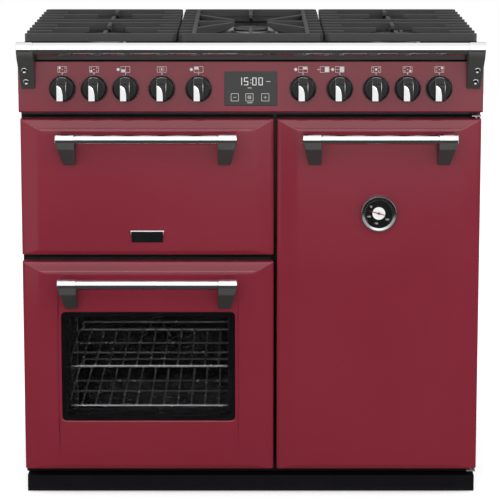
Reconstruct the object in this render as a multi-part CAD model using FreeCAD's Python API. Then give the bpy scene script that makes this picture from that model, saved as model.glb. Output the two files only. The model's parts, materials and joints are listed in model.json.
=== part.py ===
import FreeCAD, Part
import math
import os

Vec = FreeCAD.Vector

# Range cooker with three ovens and a five-burner hob, in millimetres.
# X to the right, Y to the rear, Z up. The origin is on the floor, in the middle of the plan.

# Overall size
width = 900.0
body_depth = 600.0
front_reach = 48.0
sheet = 2.0
running_gap = 0.3
shaft_clearance = 0.1

# Heights of the front, from the floor up
base_height = 38.0
door_bottom = 54.0
main_door_height = 422.5
row_gap = 12.5
grill_door_height = 270.0
fascia_drop = 13.0
fascia_height = 99.5
skirt_gap = 2.0
skirt_depth = 21.5
support_rise = 27.0

# Widths of the front
side_margin = 1.0
column_gap = 6.0
left_door_width = 494.0

# Doors
door_thickness = 46.0
door_gap = 2.5
panel_depth = 24.0
bevel_rise = 12.0
bevel_side = 37.0
bevel_top = 21.0
bevel_foot = 10.0
liner_inset = 3.0
pivot_back = 18.0
pivot_up = 9.0
pivot_in = 10.0

# Hinge arms and pins
arm_width = 5.0
arm_height = 8.0
arm_inset = 30.0
arm_clearance = 1.0
ear_width = 10.0
pin_radius = 2.5
pin_sides = 8
plate_thickness = 3.0
plate_gap = 3.0
plate_reach = 9.0
pin_entry = 9.0

# Window and its panes
window_width = 342.0
window_height = 220.0
window_centre_drop = 0.5
window_radius = 8.0
window_up = 101.0
glass_thickness = 4.0
glass_proud = 0.6
inner_pane_margin = 14.0

# Door handles
handle_radius = 9.6
handle_sides = 16
sleeve_radius = 11.0
sleeve_length = 37.0
wide_handle_length = 351.0
tall_handle_length = 300.0
handle_drop = 34.5
main_handle_drop = 38.0
bracket_drop = 55.0
bracket_foot = 24.0
bracket_toe = 7.0
bracket_throat = 12.0

# Ovens
left_cavity_margin = 75.0
right_cavity_margin = 58.0
cavity_top_margin = 26.0
cavity_bottom_margin = 42.0
rear_space = 147.5
liner_flange = 12.0
seal_width = 8.0
seal_thickness = 1.9
seal_margin = 3.0

# Wire shelves and the ladders that carry them
wire_radius = 2.0
rod_radius = 3.0
wire_sides = 4
rod_sides = 6
shelf_pitch = 27.0
shelf_side_gap = 7.2
pan_side_gap = 4.2
rung_stand_share = 1.6
shelf_front_set = 14.0
shelf_back_gap = 22.0
ladder_inset = 12.0
main_shelf_shares = (0.19, 0.42)
tall_shelf_shares = (0.45,)
grill_rung_share = 0.3
spare_rung_share = 0.75
grill_pan_height = 30.0
grill_pan_wall = 1.5

# Fans, fan covers and motors
cover_margin = 30.0
cover_depth = 34.0
cover_height = 260.0
cover_slots = 7
slot_share = 0.4
fan_share = 0.63
fan_width = 18.0
fan_blades = 6
blade_thickness = 2.0
hub_radius = 14.0
shaft_radius = 4.0
motor_radius = 34.0
motor_length = 55.0
shaft_grip = 20.0

# Grill element
element_radius = 3.5
element_passes = 4
element_margin = 40.0
element_drop = 22.0
element_front_gap = 100.0

# Casing pieces
plinth_margin = 3.0
plinth_set_back = 25.0
plinth_clearance = 3.0
plinth_height = 33.0
plinth_return = 30.0
foot_radius = 20.0
foot_thickness = 8.0
stem_radius = 6.0
foot_inset = 60.0
cable_plate_width = 120.0
cable_plate_height = 80.0
cable_plate_up = 520.0
cable_plate_lap = 8.0
cable_hole_radius = 10.0
vent_slots = 6
vent_width = 60.0
vent_height = 5.0
vent_up = 780.0

# Control fascia
fascia_proud = 6.0
fascia_lip = 5.0
knob_up = 47.5
knob_shares = (-0.809, -0.673, -0.538, -0.382, -0.224, 0.224, 0.382, 0.538, 0.673, 0.809)
left_gas_knob_count = 2
right_gas_knob_count = 3
display_width = 102.0
display_height = 67.0
display_proud = 1.5

# Knobs, bezels and spindles
knob_radius = 24.0
knob_sides = 36
bezel_sides = 20
knob_skirt = 13.0
knob_reach = 34.0
knob_set_off = 3.6
grip_width = 19.0
grip_foot = 25.0
grip_low = 20.5
grip_high = 10.5
grip_lean = 3.0
bezel_radius = 26.6
bezel_bore = 24.8
bezel_height = 5.5
spindle_radius = 4.0
spindle_sides = 8
spindle_hole = 6.0
spindle_entry = 14.0
push_travel = 3.0

# Gas rail and taps, oven switches
gas_rail_radius = 8.0
gas_rail_back = 70.0
tap_width = 26.0
tap_height = 30.0
tap_depth = 34.0
tap_bore_depth = 22.0
inlet_radius = 10.5
inlet_length = 30.0
inlet_side = 60.0
switch_width = 44.0
switch_depth = 30.0
switch_bore_depth = 20.0

# Hand rail and its end brackets
rail_radius = 12.0
rail_cap_radius = 13.0
rail_cap_length = 31.0
rail_up = 4.5
rail_bracket_width = 33.0
rail_bracket_foot = 26.0
rail_bracket_drop = 75.0
rail_bracket_toe = 9.0

# Hob and burners
hob_sheet = 3.0
hob_set_back = 2.0
burner_x = 285.0
burner_sides = 32
burner_radii = {"rear_left": 34.0, "front_left": 34.0, "centre": 36.0, "front_right": 48.0, "rear_right": 28.0}
crown_flare = 5.0
crown_height = 9.0
crown_neck_share = 0.55
neck_sides = 12
crown_neck_depth = 22.0
cap_thickness = 5.0
cap_edge = 3.0
wok_ring_inner = 49.0
wok_ring_outer = 60.0
wok_ring_height = 10.0
wok_foot_width = 8.0

# Pan supports
support_rear_gap = 57.0
support_set_back = 33.0
support_span = 880.0
centre_support_width = 282.0
support_spacing = 4.0
bar_width = 8.0
bar_height = 16.0
bar_count = 10
burner_bar_index = 2
middle_bar_index = 4
side_drop = 6.0
foot_width = 14.0
tip_taper = 30.0
tip_height = 8.0
tip_clear = 36.0
outer_stub = 50.0
inner_stub = 38.0
short_finger = 62.0
centre_stub = 30.0
corner_cut = 7.0

# Thermometer
gauge_up = 519.5
gauge_radius = 35.0
gauge_sides = 48
gauge_rim = 3.0
gauge_height = 12.0
dial_radius = 25.0
dial_height = 4.0
needle_hub = 4.0
needle_length = 21.0
needle_width = 1.8
needle_thickness = 1.2
needle_slope = 17.0
needle_pin = 1.5

# Places worked out from the sizes above
half = width / 2
rear_y = (body_depth + front_reach) / 2
face_y = rear_y - body_depth
rim_y = face_y + bevel_rise
panel_y = face_y + panel_depth
door_back = face_y + door_thickness
frame_y = door_back + door_gap
casing_y = frame_y + sheet
back_y = rear_y - sheet
main_door_top = door_bottom + main_door_height
grill_door_bottom = main_door_top + row_gap
door_top = grill_door_bottom + grill_door_height
fascia_bottom = door_top + fascia_drop
fascia_top = fascia_bottom + fascia_height
fascia_y = face_y - fascia_proud
fascia_back = fascia_y + sheet
hob_height = fascia_top + skirt_gap + skirt_depth
hob_under = hob_height - hob_sheet
support_top = hob_height + support_rise
bar_bottom = support_top - bar_height
frame_top = fascia_bottom - 2 * running_gap
left_x0 = side_margin - half
left_x1 = left_x0 + left_door_width
right_x0 = left_x1 + column_gap
right_x1 = half - side_margin
knob_z = fascia_bottom + knob_up
left_cavity_x = (left_x0 + left_cavity_margin, left_x1 - left_cavity_margin)
right_cavity_x = (right_x0 + right_cavity_margin, right_x1 - right_cavity_margin)
main_cavity_z = (door_bottom + cavity_bottom_margin, main_door_top - cavity_top_margin)
grill_cavity_z = (grill_door_bottom + cavity_bottom_margin, door_top - cavity_top_margin)
tall_cavity_z = (door_bottom + cavity_bottom_margin, door_top - cavity_top_margin)
cavity_back = rear_y - rear_space
shelf_depth = cavity_back - casing_y - shelf_front_set - cover_depth - shelf_back_gap
fan_radius = fan_share * ((right_cavity_x[1] - right_cavity_x[0]) / 2 - cover_margin)
pivot_y = face_y + pivot_back
rail_y = face_y - front_reach + rail_cap_radius
rail_z = hob_height + rail_up
handle_y = face_y - front_reach + sleeve_radius
knob_count = len(knob_shares)
gas_knobs = [*range(1, left_gas_knob_count + 1), *range(knob_count - right_gas_knob_count + 1, knob_count + 1)]
support_y0 = face_y + support_set_back
support_depth = body_depth - support_set_back - support_rear_gap
bar_pitch = (support_depth - bar_width) / (bar_count - 1)

parts = {}


# Shared shapes

def block(x_range, y_range, z_range):
    """Box between two values on each axis."""
    (x0, x1), (y0, y1), (z0, z1) = x_range, y_range, z_range
    return Part.makeBox(x1 - x0, y1 - y0, z1 - z0, Vec(x0, y0, z0))


def prism(points, run):
    """Flat outline of points, drawn out along run."""
    return Part.Face(Part.makePolygon(points + [points[0]])).extrude(run)


def side_prism(outline, x_range):
    """Outline of (y, z) points, drawn along X."""
    return prism([Vec(x_range[0], y, z) for y, z in outline], Vec(x_range[1] - x_range[0], 0, 0))


def front_prism(outline, y_range):
    """Outline of (x, z) points, drawn along Y."""
    return prism([Vec(x, y_range[0], z) for x, z in outline], Vec(0, y_range[1] - y_range[0], 0))


def plan_prism(outline, z_range):
    """Outline of (x, y) points, drawn along Z."""
    return prism([Vec(x, y, z_range[0]) for x, y in outline], Vec(0, 0, z_range[1] - z_range[0]))


def rod(start, end, radius):
    """Round bar between two points."""
    return Part.makeCylinder(radius, (end - start).Length, start, end - start)


def drum(x, z, radius, y_range):
    """Round bar along Y."""
    return rod(Vec(x, y_range[0], z), Vec(x, y_range[1], z), radius)


def faceted_rod(start, end, radius, sides):
    """Bar with flats all round, with radius at its corners."""
    run = end - start
    across = Vec(0, 0, 1) if abs(run.z) < run.Length / 2 else Vec(1, 0, 0)
    other = run.cross(across).normalize()
    corners = []
    for index in range(sides):
        turn = 2 * math.pi * (index + 1 / 2) / sides
        corners.append(start + across * (radius * math.cos(turn)) + other * (radius * math.sin(turn)))
    return prism(corners, run)


def faceted_hole(start, end, radius, sides):
    """Bore with flats all round, that a round bar of radius just passes."""
    return faceted_rod(start, end, radius / math.cos(math.pi / sides), sides)


def rounded_block(x_range, y_range, z_range, radius):
    """Box whose four edges along Y are rounded."""
    solid = block(x_range, y_range, z_range)
    edges = [edge for edge in solid.Edges if abs(edge.tangentAt(edge.FirstParameter).y) > 1 / 2]
    return solid.makeFillet(radius, edges)


def turned(profile, foot, axis, sides):
    """Closed profile of (radius, height) points, turned in flats about an axis that starts at foot."""
    loops = []
    for radius, height in profile:
        turns = [2 * math.pi * index / sides for index in range(sides)]
        loops.append([Vec(radius * math.cos(turn), radius * math.sin(turn), height) for turn in turns])
    faces = []
    for index, (radius, height) in enumerate(profile):
        following = (index + 1) % len(profile)
        other_radius, other_height = profile[following]
        if radius == 0 or other_radius == 0:
            loop = loops[following] if radius == 0 else loops[index]
            if radius != other_radius:
                faces.append(Part.Face(Part.makePolygon(loop + [loop[0]])))
            continue
        for side in range(sides):
            beyond = (side + 1) % sides
            corners = [loops[index][side], loops[index][beyond], loops[following][beyond], loops[following][side]]
            faces.append(Part.Face(Part.makePolygon(corners + [corners[0]])))
    solid = Part.makeSolid(Part.makeShell(faces))
    if solid.Volume < 0:
        solid.reverse()
    solid.Placement = FreeCAD.Placement(foot, FreeCAD.Rotation(Vec(0, 0, 1), axis))
    return solid


def joined(solids):
    """Solids that are one piece."""
    return solids[0].multiFuse(solids[1:]).removeSplitter() if len(solids) > 1 else solids[0]


def group(solids):
    """Separate solids that share one node."""
    return Part.makeCompound(solids)


def inset(x_range, side):
    """Range drawn in by the same amount at both ends."""
    return (x_range[0] + side, x_range[1] - side)


def middle(x_range):
    """Centre of a range."""
    return (x_range[0] + x_range[1]) / 2


# Casing

def casing_sheets():
    """Two outer side sheets, and the floor of the casing with its edges turned up between them."""
    y_range = (casing_y, back_y)
    z_range = (base_height, hob_under)
    sides = [block((-half, sheet - half), y_range, z_range), block((half - sheet, half), y_range, z_range)]
    outer = block(inset((-half, half), sheet), y_range, (base_height, base_height + skirt_depth))
    inner = block(inset((-half, half), 2 * sheet), inset(y_range, sheet),
                  (base_height + sheet, base_height + 2 * skirt_depth))
    return group(sides + [outer.cut(inner)])


def rear_panel():
    """Rear sheet with vents, a gas inlet hole and the screwed plate over the cable terminals."""
    panel = block((-half, half), (back_y, rear_y), (base_height, hob_under))
    through = (back_y - sheet, rear_y + sheet)
    window = block((-cable_plate_width / 2, cable_plate_width / 2), through,
                   (cable_plate_up, cable_plate_up + cable_plate_height))
    cuts = [window, drum(half - inlet_side, knob_z, inlet_radius + sheet, through)]
    for row in range(vent_slots):
        for side in (-1, 1):
            x_mid = side * width / 4
            z_low = vent_up - row * 3 * vent_height
            cuts.append(block((x_mid - vent_width / 2, x_mid + vent_width / 2), through,
                              (z_low, z_low + vent_height)))
    lap = cable_plate_lap
    plate = block((-cable_plate_width / 2 - lap, cable_plate_width / 2 + lap), (back_y - sheet, back_y),
                  (cable_plate_up - lap, cable_plate_up + cable_plate_height + lap))
    gland = drum(0, cable_plate_up + cable_plate_height / 2, cable_hole_radius, (back_y - 2 * sheet, rear_y))
    return group([panel.cut(joined(cuts)), plate.cut(gland)])


def front_frame():
    """Front sheet with one opening for each oven."""
    frame = block((-half, half), (frame_y, casing_y), (base_height, frame_top))
    through = (frame_y - sheet, casing_y + sheet)
    for x_range, z_range in cavities():
        frame = frame.cut(block(x_range, through, z_range))
    return frame


def cavities():
    """Width and height ranges of the grill oven, the main oven and the tall oven."""
    return ((left_cavity_x, grill_cavity_z), (left_cavity_x, main_cavity_z), (right_cavity_x, tall_cavity_z))


def plinth():
    """Folded toe board with a top return and two hangers under the base tray."""
    top = plinth_clearance + plinth_height
    front = face_y + plinth_set_back
    x_range = inset((-half, half), plinth_margin)
    board = block(x_range, (front, front + sheet), (plinth_clearance, top))
    shelf = block(x_range, (front, casing_y + plinth_return), (top - sheet, top))
    hangers = []
    for side in (-1, 1):
        x_mid = side * (half - foot_inset - foot_radius)
        hangers.append(block((x_mid - foot_radius / 2, x_mid + foot_radius / 2),
                             (casing_y, casing_y + plinth_return), (top - sheet, base_height)))
    return joined([board, shelf] + hangers)


def levelling_feet():
    """Four screw-in feet."""
    feet = []
    front = casing_y + plinth_return + foot_radius + plinth_clearance
    for x in (foot_inset - half, half - foot_inset):
        for y in (front, back_y - foot_inset):
            profile = [(0, 0), (foot_radius, 0), (foot_radius, foot_thickness), (stem_radius, foot_thickness),
                       (stem_radius, base_height), (0, base_height)]
            feet.append(turned(profile, Vec(x, y, 0), Vec(0, 0, 1), handle_sides))
    return group(feet)


# Hob

def burner_places():
    """Plan position of each burner, on the pan support bars that point at it."""
    front = bar_middle(burner_bar_index)
    rear = bar_middle(mirrored_bar(burner_bar_index))
    return {"rear_left": (-burner_x, rear), "front_left": (-burner_x, front),
            "centre": (0, (front + rear) / 2), "front_right": (burner_x, front),
            "rear_right": (burner_x, rear)}


def hob_top():
    """Pressed hob plate with a front skirt, rear and side folds, and a hole for each burner neck."""
    front = face_y + hob_set_back
    plate = block((-half, half), (front, rear_y), (hob_under, hob_height))
    edges = [edge for edge in plate.Edges
             if edge.BoundBox.ZMin > hob_under and edge.BoundBox.YMax < front + hob_sheet]
    plate = plate.makeChamfer(hob_sheet / 2, edges)
    skirt = block((-half, half), (front, front + sheet), (hob_height - skirt_depth, hob_under))
    solid = joined([plate, skirt])
    for name, (x, y) in burner_places().items():
        neck = burner_radii[name] * crown_neck_share
        start, end = Vec(x, y, hob_under - hob_sheet), Vec(x, y, hob_height + hob_sheet)
        solid = solid.cut(faceted_rod(start, end, neck, neck_sides))
    return solid


def burner_crowns():
    """Flame crowns with their necks, and the wok burner's outer ring on its feet."""
    solids = []
    for name, (x, y) in burner_places().items():
        radius = burner_radii[name]
        neck = radius * crown_neck_share
        profile = [(0, 0), (radius + crown_flare, 0), (radius - crown_flare, crown_height), (0, crown_height)]
        head = turned(profile, Vec(x, y, hob_height), Vec(0, 0, 1), burner_sides)
        stem = faceted_rod(Vec(x, y, hob_height - crown_neck_depth), Vec(x, y, hob_height), neck, neck_sides)
        solids.append(head.fuse(stem))
    x, y = burner_places()["centre"]
    ring = turned([(wok_ring_inner, 0), (wok_ring_outer, 0), (wok_ring_outer, wok_ring_height),
                   (wok_ring_inner + crown_flare, wok_ring_height)], Vec(x, y, hob_height), Vec(0, 0, 1),
                  burner_sides)
    spoke = block((x - wok_ring_inner - crown_flare, x + wok_ring_inner + crown_flare),
                  (y - wok_foot_width / 2, y + wok_foot_width / 2), (hob_height, hob_height + crown_flare))
    wok = joined([solids[2], ring, spoke])
    return group(solids[:2] + [wok] + solids[3:])


def burner_caps():
    """Enamelled cap on each crown."""
    solids = []
    for name, (x, y) in burner_places().items():
        radius = burner_radii[name]
        profile = [(0, 0), (radius, 0), (radius, cap_thickness - cap_edge),
                   (radius - cap_edge, cap_thickness), (0, cap_thickness)]
        solids.append(turned(profile, Vec(x, y, hob_height + crown_height), Vec(0, 0, 1), burner_sides))
    return group(solids)


# Pan supports

def bar_middle(index):
    """Centre line of one cross bar, counted from the front."""
    return support_y0 + bar_width / 2 + index * bar_pitch


def mirrored_bar(index):
    """Number of the bar that lies as far from the rear as this one does from the front."""
    return bar_count - 1 - index


def finger(start, end, taper):
    """Cast bar between two plan points, thinned from below over taper at its end."""
    length = (end - start).Length
    outline = [(0, support_top), (length, support_top), (length - taper, bar_bottom), (0, bar_bottom)]
    if taper:
        outline.insert(2, (length, support_top - tip_height))
    solid = prism([Vec(along, -bar_width / 2, z) for along, z in outline], Vec(0, bar_width, 0))
    turn = FreeCAD.Rotation(Vec(1, 0, 0), end - start)
    solid.Placement = FreeCAD.Placement(Vec(start.x, start.y, 0), turn)
    return solid


def support_frame(x_range):
    """Front and rear bars, lower side bars and the feet of one pan support."""
    x0, x1 = x_range
    y0 = support_y0
    y1 = support_y0 + support_depth
    solids = []
    for y_edge, y_in in ((y0, y0 + bar_width), (y1, y1 - bar_width)):
        outline = [(x0 + corner_cut, y_edge), (x1 - corner_cut, y_edge), (x1, y_in), (x0, y_in)]
        solids.append(plan_prism(outline, (bar_bottom, support_top)))
    for x_low in (x0 + side_drop, x1 - side_drop - bar_width):
        solids.append(block((x_low, x_low + bar_width), (y0 + bar_width / 2, y1 - bar_width / 2),
                            (bar_bottom, support_top - side_drop)))
        for y_low in (y0 + bar_width, y1 - bar_width - foot_width):
            solids.append(block((x_low, x_low + bar_width), (y_low, y_low + foot_width),
                                (hob_height, bar_bottom)))
    return solids


def outer_support(side):
    """Pan support over the two burners on one side, -1 on the left and 1 on the right."""
    outer = side * support_span / 2
    inner = side * (centre_support_width / 2 + support_spacing)
    x_range = tuple(sorted((outer, inner)))
    solids = support_frame(x_range)
    burner = side * burner_x
    for index in range(1, bar_count - 1):
        y = bar_middle(index)
        if index in (middle_bar_index, mirrored_bar(middle_bar_index)):
            reaches = [(outer, inner, 0)]
        elif index in (burner_bar_index, mirrored_bar(burner_bar_index)):
            reaches = [(outer, burner + side * tip_clear, tip_taper),
                       (inner, burner - side * tip_clear, tip_taper)]
        else:
            reaches = [(outer, outer - side * outer_stub, tip_taper),
                       (inner, inner + side * inner_stub, tip_taper)]
        for start, end, taper in reaches:
            solids.append(finger(Vec(start, y, 0), Vec(end, y, 0), taper))
    for index, way, reach in ((0, 1, short_finger), (middle_bar_index, -1, short_finger + bar_width)):
        front, rear = bar_middle(index), bar_middle(mirrored_bar(index))
        solids.append(finger(Vec(burner, front, 0), Vec(burner, front + way * reach, 0), tip_taper))
        solids.append(finger(Vec(burner, rear, 0), Vec(burner, rear - way * reach, 0), tip_taper))
    return joined(solids)


def centre_support():
    """Pan support over the wok burner, with slanting fingers that meet round it."""
    x_range = (-centre_support_width / 2, centre_support_width / 2)
    solids = support_frame(x_range)
    wok_y = burner_places()["centre"][1]
    inner_y = bar_middle(middle_bar_index) - wok_y
    for side in (-1, 1):
        edge = side * centre_support_width / 2
        rib = edge - side * centre_stub
        for index in range(1, bar_count - 1):
            y = bar_middle(index)
            solids.append(finger(Vec(edge, y, 0), Vec(rib, y, 0), 0))
        solids.append(finger(Vec(rib, bar_middle(0), 0), Vec(rib, bar_middle(bar_count - 1), 0), 0))
        tip = side * tip_clear
        solids.append(finger(Vec(rib, wok_y, 0), Vec(tip, wok_y, 0), tip_taper))
        for index, lean in ((burner_bar_index, 1), (mirrored_bar(burner_bar_index), -1)):
            start = Vec(rib, bar_middle(index), 0)
            solids.append(finger(start, Vec(tip, wok_y + lean * inner_y, 0), tip_taper))
    for index, way in ((0, 1), (bar_count - 1, -1)):
        y = bar_middle(index)
        solids.append(finger(Vec(0, y, 0), Vec(0, y + way * 2 * short_finger, 0), tip_taper))
    return joined(solids)


# Hand rail

def hand_rail():
    """Bar along the front of the hob, with a sleeve on each end."""
    solids = [faceted_rod(Vec(-half, rail_y, rail_z), Vec(half, rail_y, rail_z), rail_radius, handle_sides)]
    for side in (-1, 1):
        inner = side * (half - rail_cap_length)
        solids.append(faceted_rod(Vec(inner, rail_y, rail_z), Vec(side * half, rail_y, rail_z), rail_cap_radius,
                                  handle_sides))
    return joined(solids)


def bracket(outline, x_outer, x_inner, foot, z_range, y_range):
    """Casting with a (y, z) outline, whose outer edge slants in towards its foot."""
    lean = (x_inner - x_outer) * (1 - foot)
    shape = [(x_outer, z_range[1]), (x_inner, z_range[1]), (x_inner, z_range[0]), (x_outer + lean, z_range[0])]
    body = side_prism(outline, tuple(sorted((x_outer, x_inner))))
    return body.common(front_prism(shape, y_range))


def rail_brackets():
    """Castings on the ends of the fascia that hold the rail in a cradle."""
    low = hob_height - rail_bracket_drop
    outline = [(fascia_y, low), (fascia_y - rail_bracket_toe, low),
               (rail_y - rail_radius, rail_z - 1.5 * rail_radius), (rail_y - rail_radius, rail_z),
               (rail_y + rail_radius, rail_z), (fascia_y, hob_under)]
    solids = []
    for side in (-1, 1):
        solid = bracket(outline, side * half, side * (half - rail_bracket_width), rail_bracket_foot
                        / rail_bracket_width, (low, rail_z), (rail_y - 2 * rail_radius, fascia_y))
        solids.append(solid.cut(hand_rail()))
    return group(solids)


# Control fascia

def knob_x(index):
    """Centre of one knob, counted from the left."""
    return knob_shares[index] * half


def control_fascia():
    """Folded front panel with a hole for each spindle."""
    outer = block((-half, half), (fascia_y, casing_y), (fascia_bottom, fascia_top))
    lower = [edge for edge in outer.Edges if edge.BoundBox.YMax < fascia_back and edge.BoundBox.ZMax < fascia_top
             and edge.BoundBox.XLength > half]
    outer = outer.makeChamfer(fascia_lip, lower)
    inner = block(inset((-half, half), sheet), (fascia_back, casing_y + sheet),
                  inset((fascia_bottom, fascia_top), sheet))
    lip = [edge for edge in inner.Edges if edge.BoundBox.YMax < fascia_back + sheet
           and edge.BoundBox.ZMax < fascia_top - 2 * sheet and edge.BoundBox.XLength > half]
    shell = outer.cut(inner.makeChamfer(fascia_lip - sheet, lip))
    holes = []
    for index in range(knob_count):
        x = knob_x(index)
        start, end = Vec(x, fascia_y - sheet, knob_z), Vec(x, fascia_back + sheet, knob_z)
        holes.append(faceted_rod(start, end, spindle_hole, spindle_sides))
    return shell.cut(group(holes))


def knob_bezels():
    """Ring round each knob."""
    rings = []
    for index in range(knob_count):
        back, front = Vec(knob_x(index), fascia_y, knob_z), Vec(knob_x(index), fascia_y - bezel_height, knob_z)
        ring = faceted_rod(back, front, bezel_radius, bezel_sides)
        rings.append(ring.cut(faceted_hole(back, front, bezel_bore, bezel_sides)))
    return group(rings)


def clock_display():
    """Glass plate of the clock, on the fascia."""
    return rounded_block((-display_width / 2, display_width / 2), (fascia_y - display_proud, fascia_y),
                         (knob_z - display_height / 2, knob_z + display_height / 2), display_proud)


def knob(index):
    """Knob with its grip bar. A gas knob has a socket for its spindle, an oven knob has its own stem."""
    x = knob_x(index)
    back = fascia_y - knob_set_off
    front = back - knob_reach
    skirt = faceted_rod(Vec(x, back - knob_skirt, knob_z), Vec(x, back, knob_z), knob_radius, knob_sides)
    round_form = faceted_rod(Vec(x, front, knob_z), Vec(x, back, knob_z), knob_radius, knob_sides)
    grip = side_prism([(back - knob_skirt, knob_z - grip_foot), (front, knob_z - grip_low),
                       (front + grip_lean, knob_z + grip_high), (back - knob_skirt, knob_z + grip_foot)],
                      (x - grip_width / 2, x + grip_width / 2))
    solid = skirt.fuse(grip.common(round_form)).removeSplitter()
    if index + 1 in gas_knobs:
        start = Vec(x, back + sheet, knob_z)
        end = Vec(x, back - spindle_entry - shaft_clearance, knob_z)
        return solid.cut(faceted_hole(start, end, spindle_radius + shaft_clearance, spindle_sides))
    stem_end = fascia_back + switch_bore_depth - running_gap
    stem = faceted_rod(Vec(x, back - knob_skirt / 2, knob_z), Vec(x, stem_end, knob_z), spindle_radius,
                       spindle_sides)
    return solid.fuse(stem)


def tap_face():
    """Front of the gas taps."""
    return fascia_back + gas_rail_back - gas_rail_radius - tap_depth


def tap_spindle(index):
    """Push spindle of one gas tap, from its bore to the knob's socket."""
    x = knob_x(index)
    start = Vec(x, fascia_y - knob_set_off - spindle_entry, knob_z)
    end = Vec(x, tap_face() + tap_bore_depth - push_travel - running_gap, knob_z)
    return faceted_rod(start, end, spindle_radius, spindle_sides)


def gas_rail():
    """Gas pipe across the casing with a tap at each gas knob, and its inlet to the rear."""
    rail_back = fascia_back + gas_rail_back
    pipe = faceted_rod(Vec(sheet - half, rail_back, knob_z), Vec(half - sheet, rail_back, knob_z),
                       gas_rail_radius, spindle_sides)
    x_in = half - inlet_side
    tail = faceted_rod(Vec(x_in, rail_back, knob_z), Vec(x_in, rear_y - inlet_length, knob_z),
                       gas_rail_radius, spindle_sides)
    nipple = drum(x_in, knob_z, inlet_radius, (rear_y - inlet_length, rear_y - running_gap))
    solids = [pipe, tail, nipple]
    face = tap_face()
    for number in gas_knobs:
        x = knob_x(number - 1)
        solids.append(block((x - tap_width / 2, x + tap_width / 2), (face, rail_back),
                            (knob_z - tap_height / 2, knob_z + tap_height / 2)))
    solid = joined(solids)
    for number in gas_knobs:
        x = knob_x(number - 1)
        start, end = Vec(x, face - sheet, knob_z), Vec(x, face + tap_bore_depth, knob_z)
        solid = solid.cut(faceted_rod(start, end, spindle_radius + shaft_clearance, spindle_sides))
    return solid


def oven_switches():
    """Switch and thermostat bodies on the back of the fascia, each with a bore for its knob's stem."""
    solids = []
    for index in range(knob_count):
        if index + 1 not in gas_knobs:
            x = knob_x(index)
            body = block((x - switch_width / 2, x + switch_width / 2), (fascia_back, fascia_back + switch_depth),
                         (knob_z - switch_width / 2, knob_z + switch_width / 2))
            start, end = Vec(x, fascia_y, knob_z), Vec(x, fascia_back + switch_bore_depth, knob_z)
            bore = faceted_hole(start, end, spindle_radius + shaft_clearance, spindle_sides)
            solids.append(body.cut(bore))
    return group(solids)


# Ovens

def liner(x_range, z_range, shaft):
    """Oven cavity open at the front, with a flange behind the front frame and a hole for a fan shaft."""
    outer = block(inset(x_range, -sheet), (casing_y, cavity_back + sheet), inset(z_range, -sheet))
    flange = block(inset(x_range, -liner_flange), (casing_y, casing_y + sheet), inset(z_range, -liner_flange))
    solid = outer.fuse(flange).cut(block(x_range, (casing_y - sheet, cavity_back), z_range))
    if shaft:
        x, z = middle(x_range), middle(z_range)
        solid = solid.cut(faceted_rod(Vec(x, cavity_back - sheet, z), Vec(x, cavity_back + 2 * sheet, z),
                                      shaft_radius + sheet, pin_sides))
    return solid


def fan_cover_ranges(x_range, z_range):
    """Width and height of the cover in front of a fan."""
    z_mid = middle(z_range)
    return inset(x_range, cover_margin), (z_mid - cover_height / 2, z_mid + cover_height / 2)


def fan_covers():
    """Slotted cover over each fan, fixed to the rear of its oven."""
    solids = []
    for x_range, z_range in cavities()[1:]:
        x_cover, z_cover = fan_cover_ranges(x_range, z_range)
        front = cavity_back - cover_depth
        solid = block(x_cover, (front, cavity_back), z_cover)
        solid = solid.cut(block(inset(x_cover, sheet), (front + sheet, cavity_back + sheet), inset(z_cover, sheet)))
        pitch = 2 * fan_radius / cover_slots
        slot_height = slot_share * pitch
        slots = []
        for row in range(cover_slots):
            z_low = middle(z_cover) - fan_radius + (row + 1 / 2) * pitch - slot_height / 2
            slots.append(block((middle(x_cover) - fan_radius, middle(x_cover) + fan_radius),
                               (front - sheet, front + 2 * sheet), (z_low, z_low + slot_height)))
        solids.append(solid.cut(group(slots)))
    return group(solids)


def oven_fan(x_range, z_range):
    """Fan wheel with its shaft, which runs in the motor behind the oven."""
    x, z = middle(x_range), middle(z_range)
    back = cavity_back - shaft_radius
    front = back - fan_width
    solids = [faceted_rod(Vec(x, front, z), Vec(x, back, z), hub_radius, neck_sides),
              faceted_rod(Vec(x, front, z), Vec(x, cavity_back + sheet + shaft_grip, z), shaft_radius, pin_sides)]
    for blade in range(fan_blades):
        solid = block((0, fan_radius), (front, back), (-blade_thickness / 2, blade_thickness / 2))
        solid.rotate(Vec(0, 0, 0), Vec(0, 1, 0), 360 * blade / fan_blades)
        solid.translate(Vec(x, 0, z))
        solids.append(solid)
    return joined(solids)


def fan_motors():
    """Motor of each fan, on the outside of its oven's rear wall."""
    solids = []
    start = cavity_back + sheet
    for x_range, z_range in cavities()[1:]:
        x, z = middle(x_range), middle(z_range)
        body = faceted_rod(Vec(x, start, z), Vec(x, start + motor_length, z), motor_radius, neck_sides)
        bore = faceted_hole(Vec(x, start - sheet, z), Vec(x, start + shaft_grip + sheet, z),
                            shaft_radius + shaft_clearance, pin_sides)
        solids.append(body.cut(bore))
    return group(solids)


def ladder_wires(x_range, z_range, rungs):
    """Two posts and the rungs on each side wall of one oven."""
    y_range = (casing_y + ladder_inset, cavity_back - ladder_inset - cover_depth)
    solids = []
    for x in (x_range[0] + wire_radius, x_range[1] - wire_radius):
        for y in inset(y_range, ladder_inset):
            solids.append(faceted_rod(Vec(x, y, z_range[0]), Vec(x, y, z_range[1]), wire_radius, rod_sides))
        toward = rung_stand_share * (wire_radius if x < middle(x_range) else -wire_radius)
        for z in rungs:
            start, end = Vec(x + toward, y_range[0], z), Vec(x + toward, y_range[1], z)
            solids.append(faceted_rod(start, end, wire_radius, rod_sides))
    return joined(solids)


def rung_height(z_range, share):
    """Height of a rung at a share of the oven's height."""
    return z_range[0] + share * (z_range[1] - z_range[0])


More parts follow.
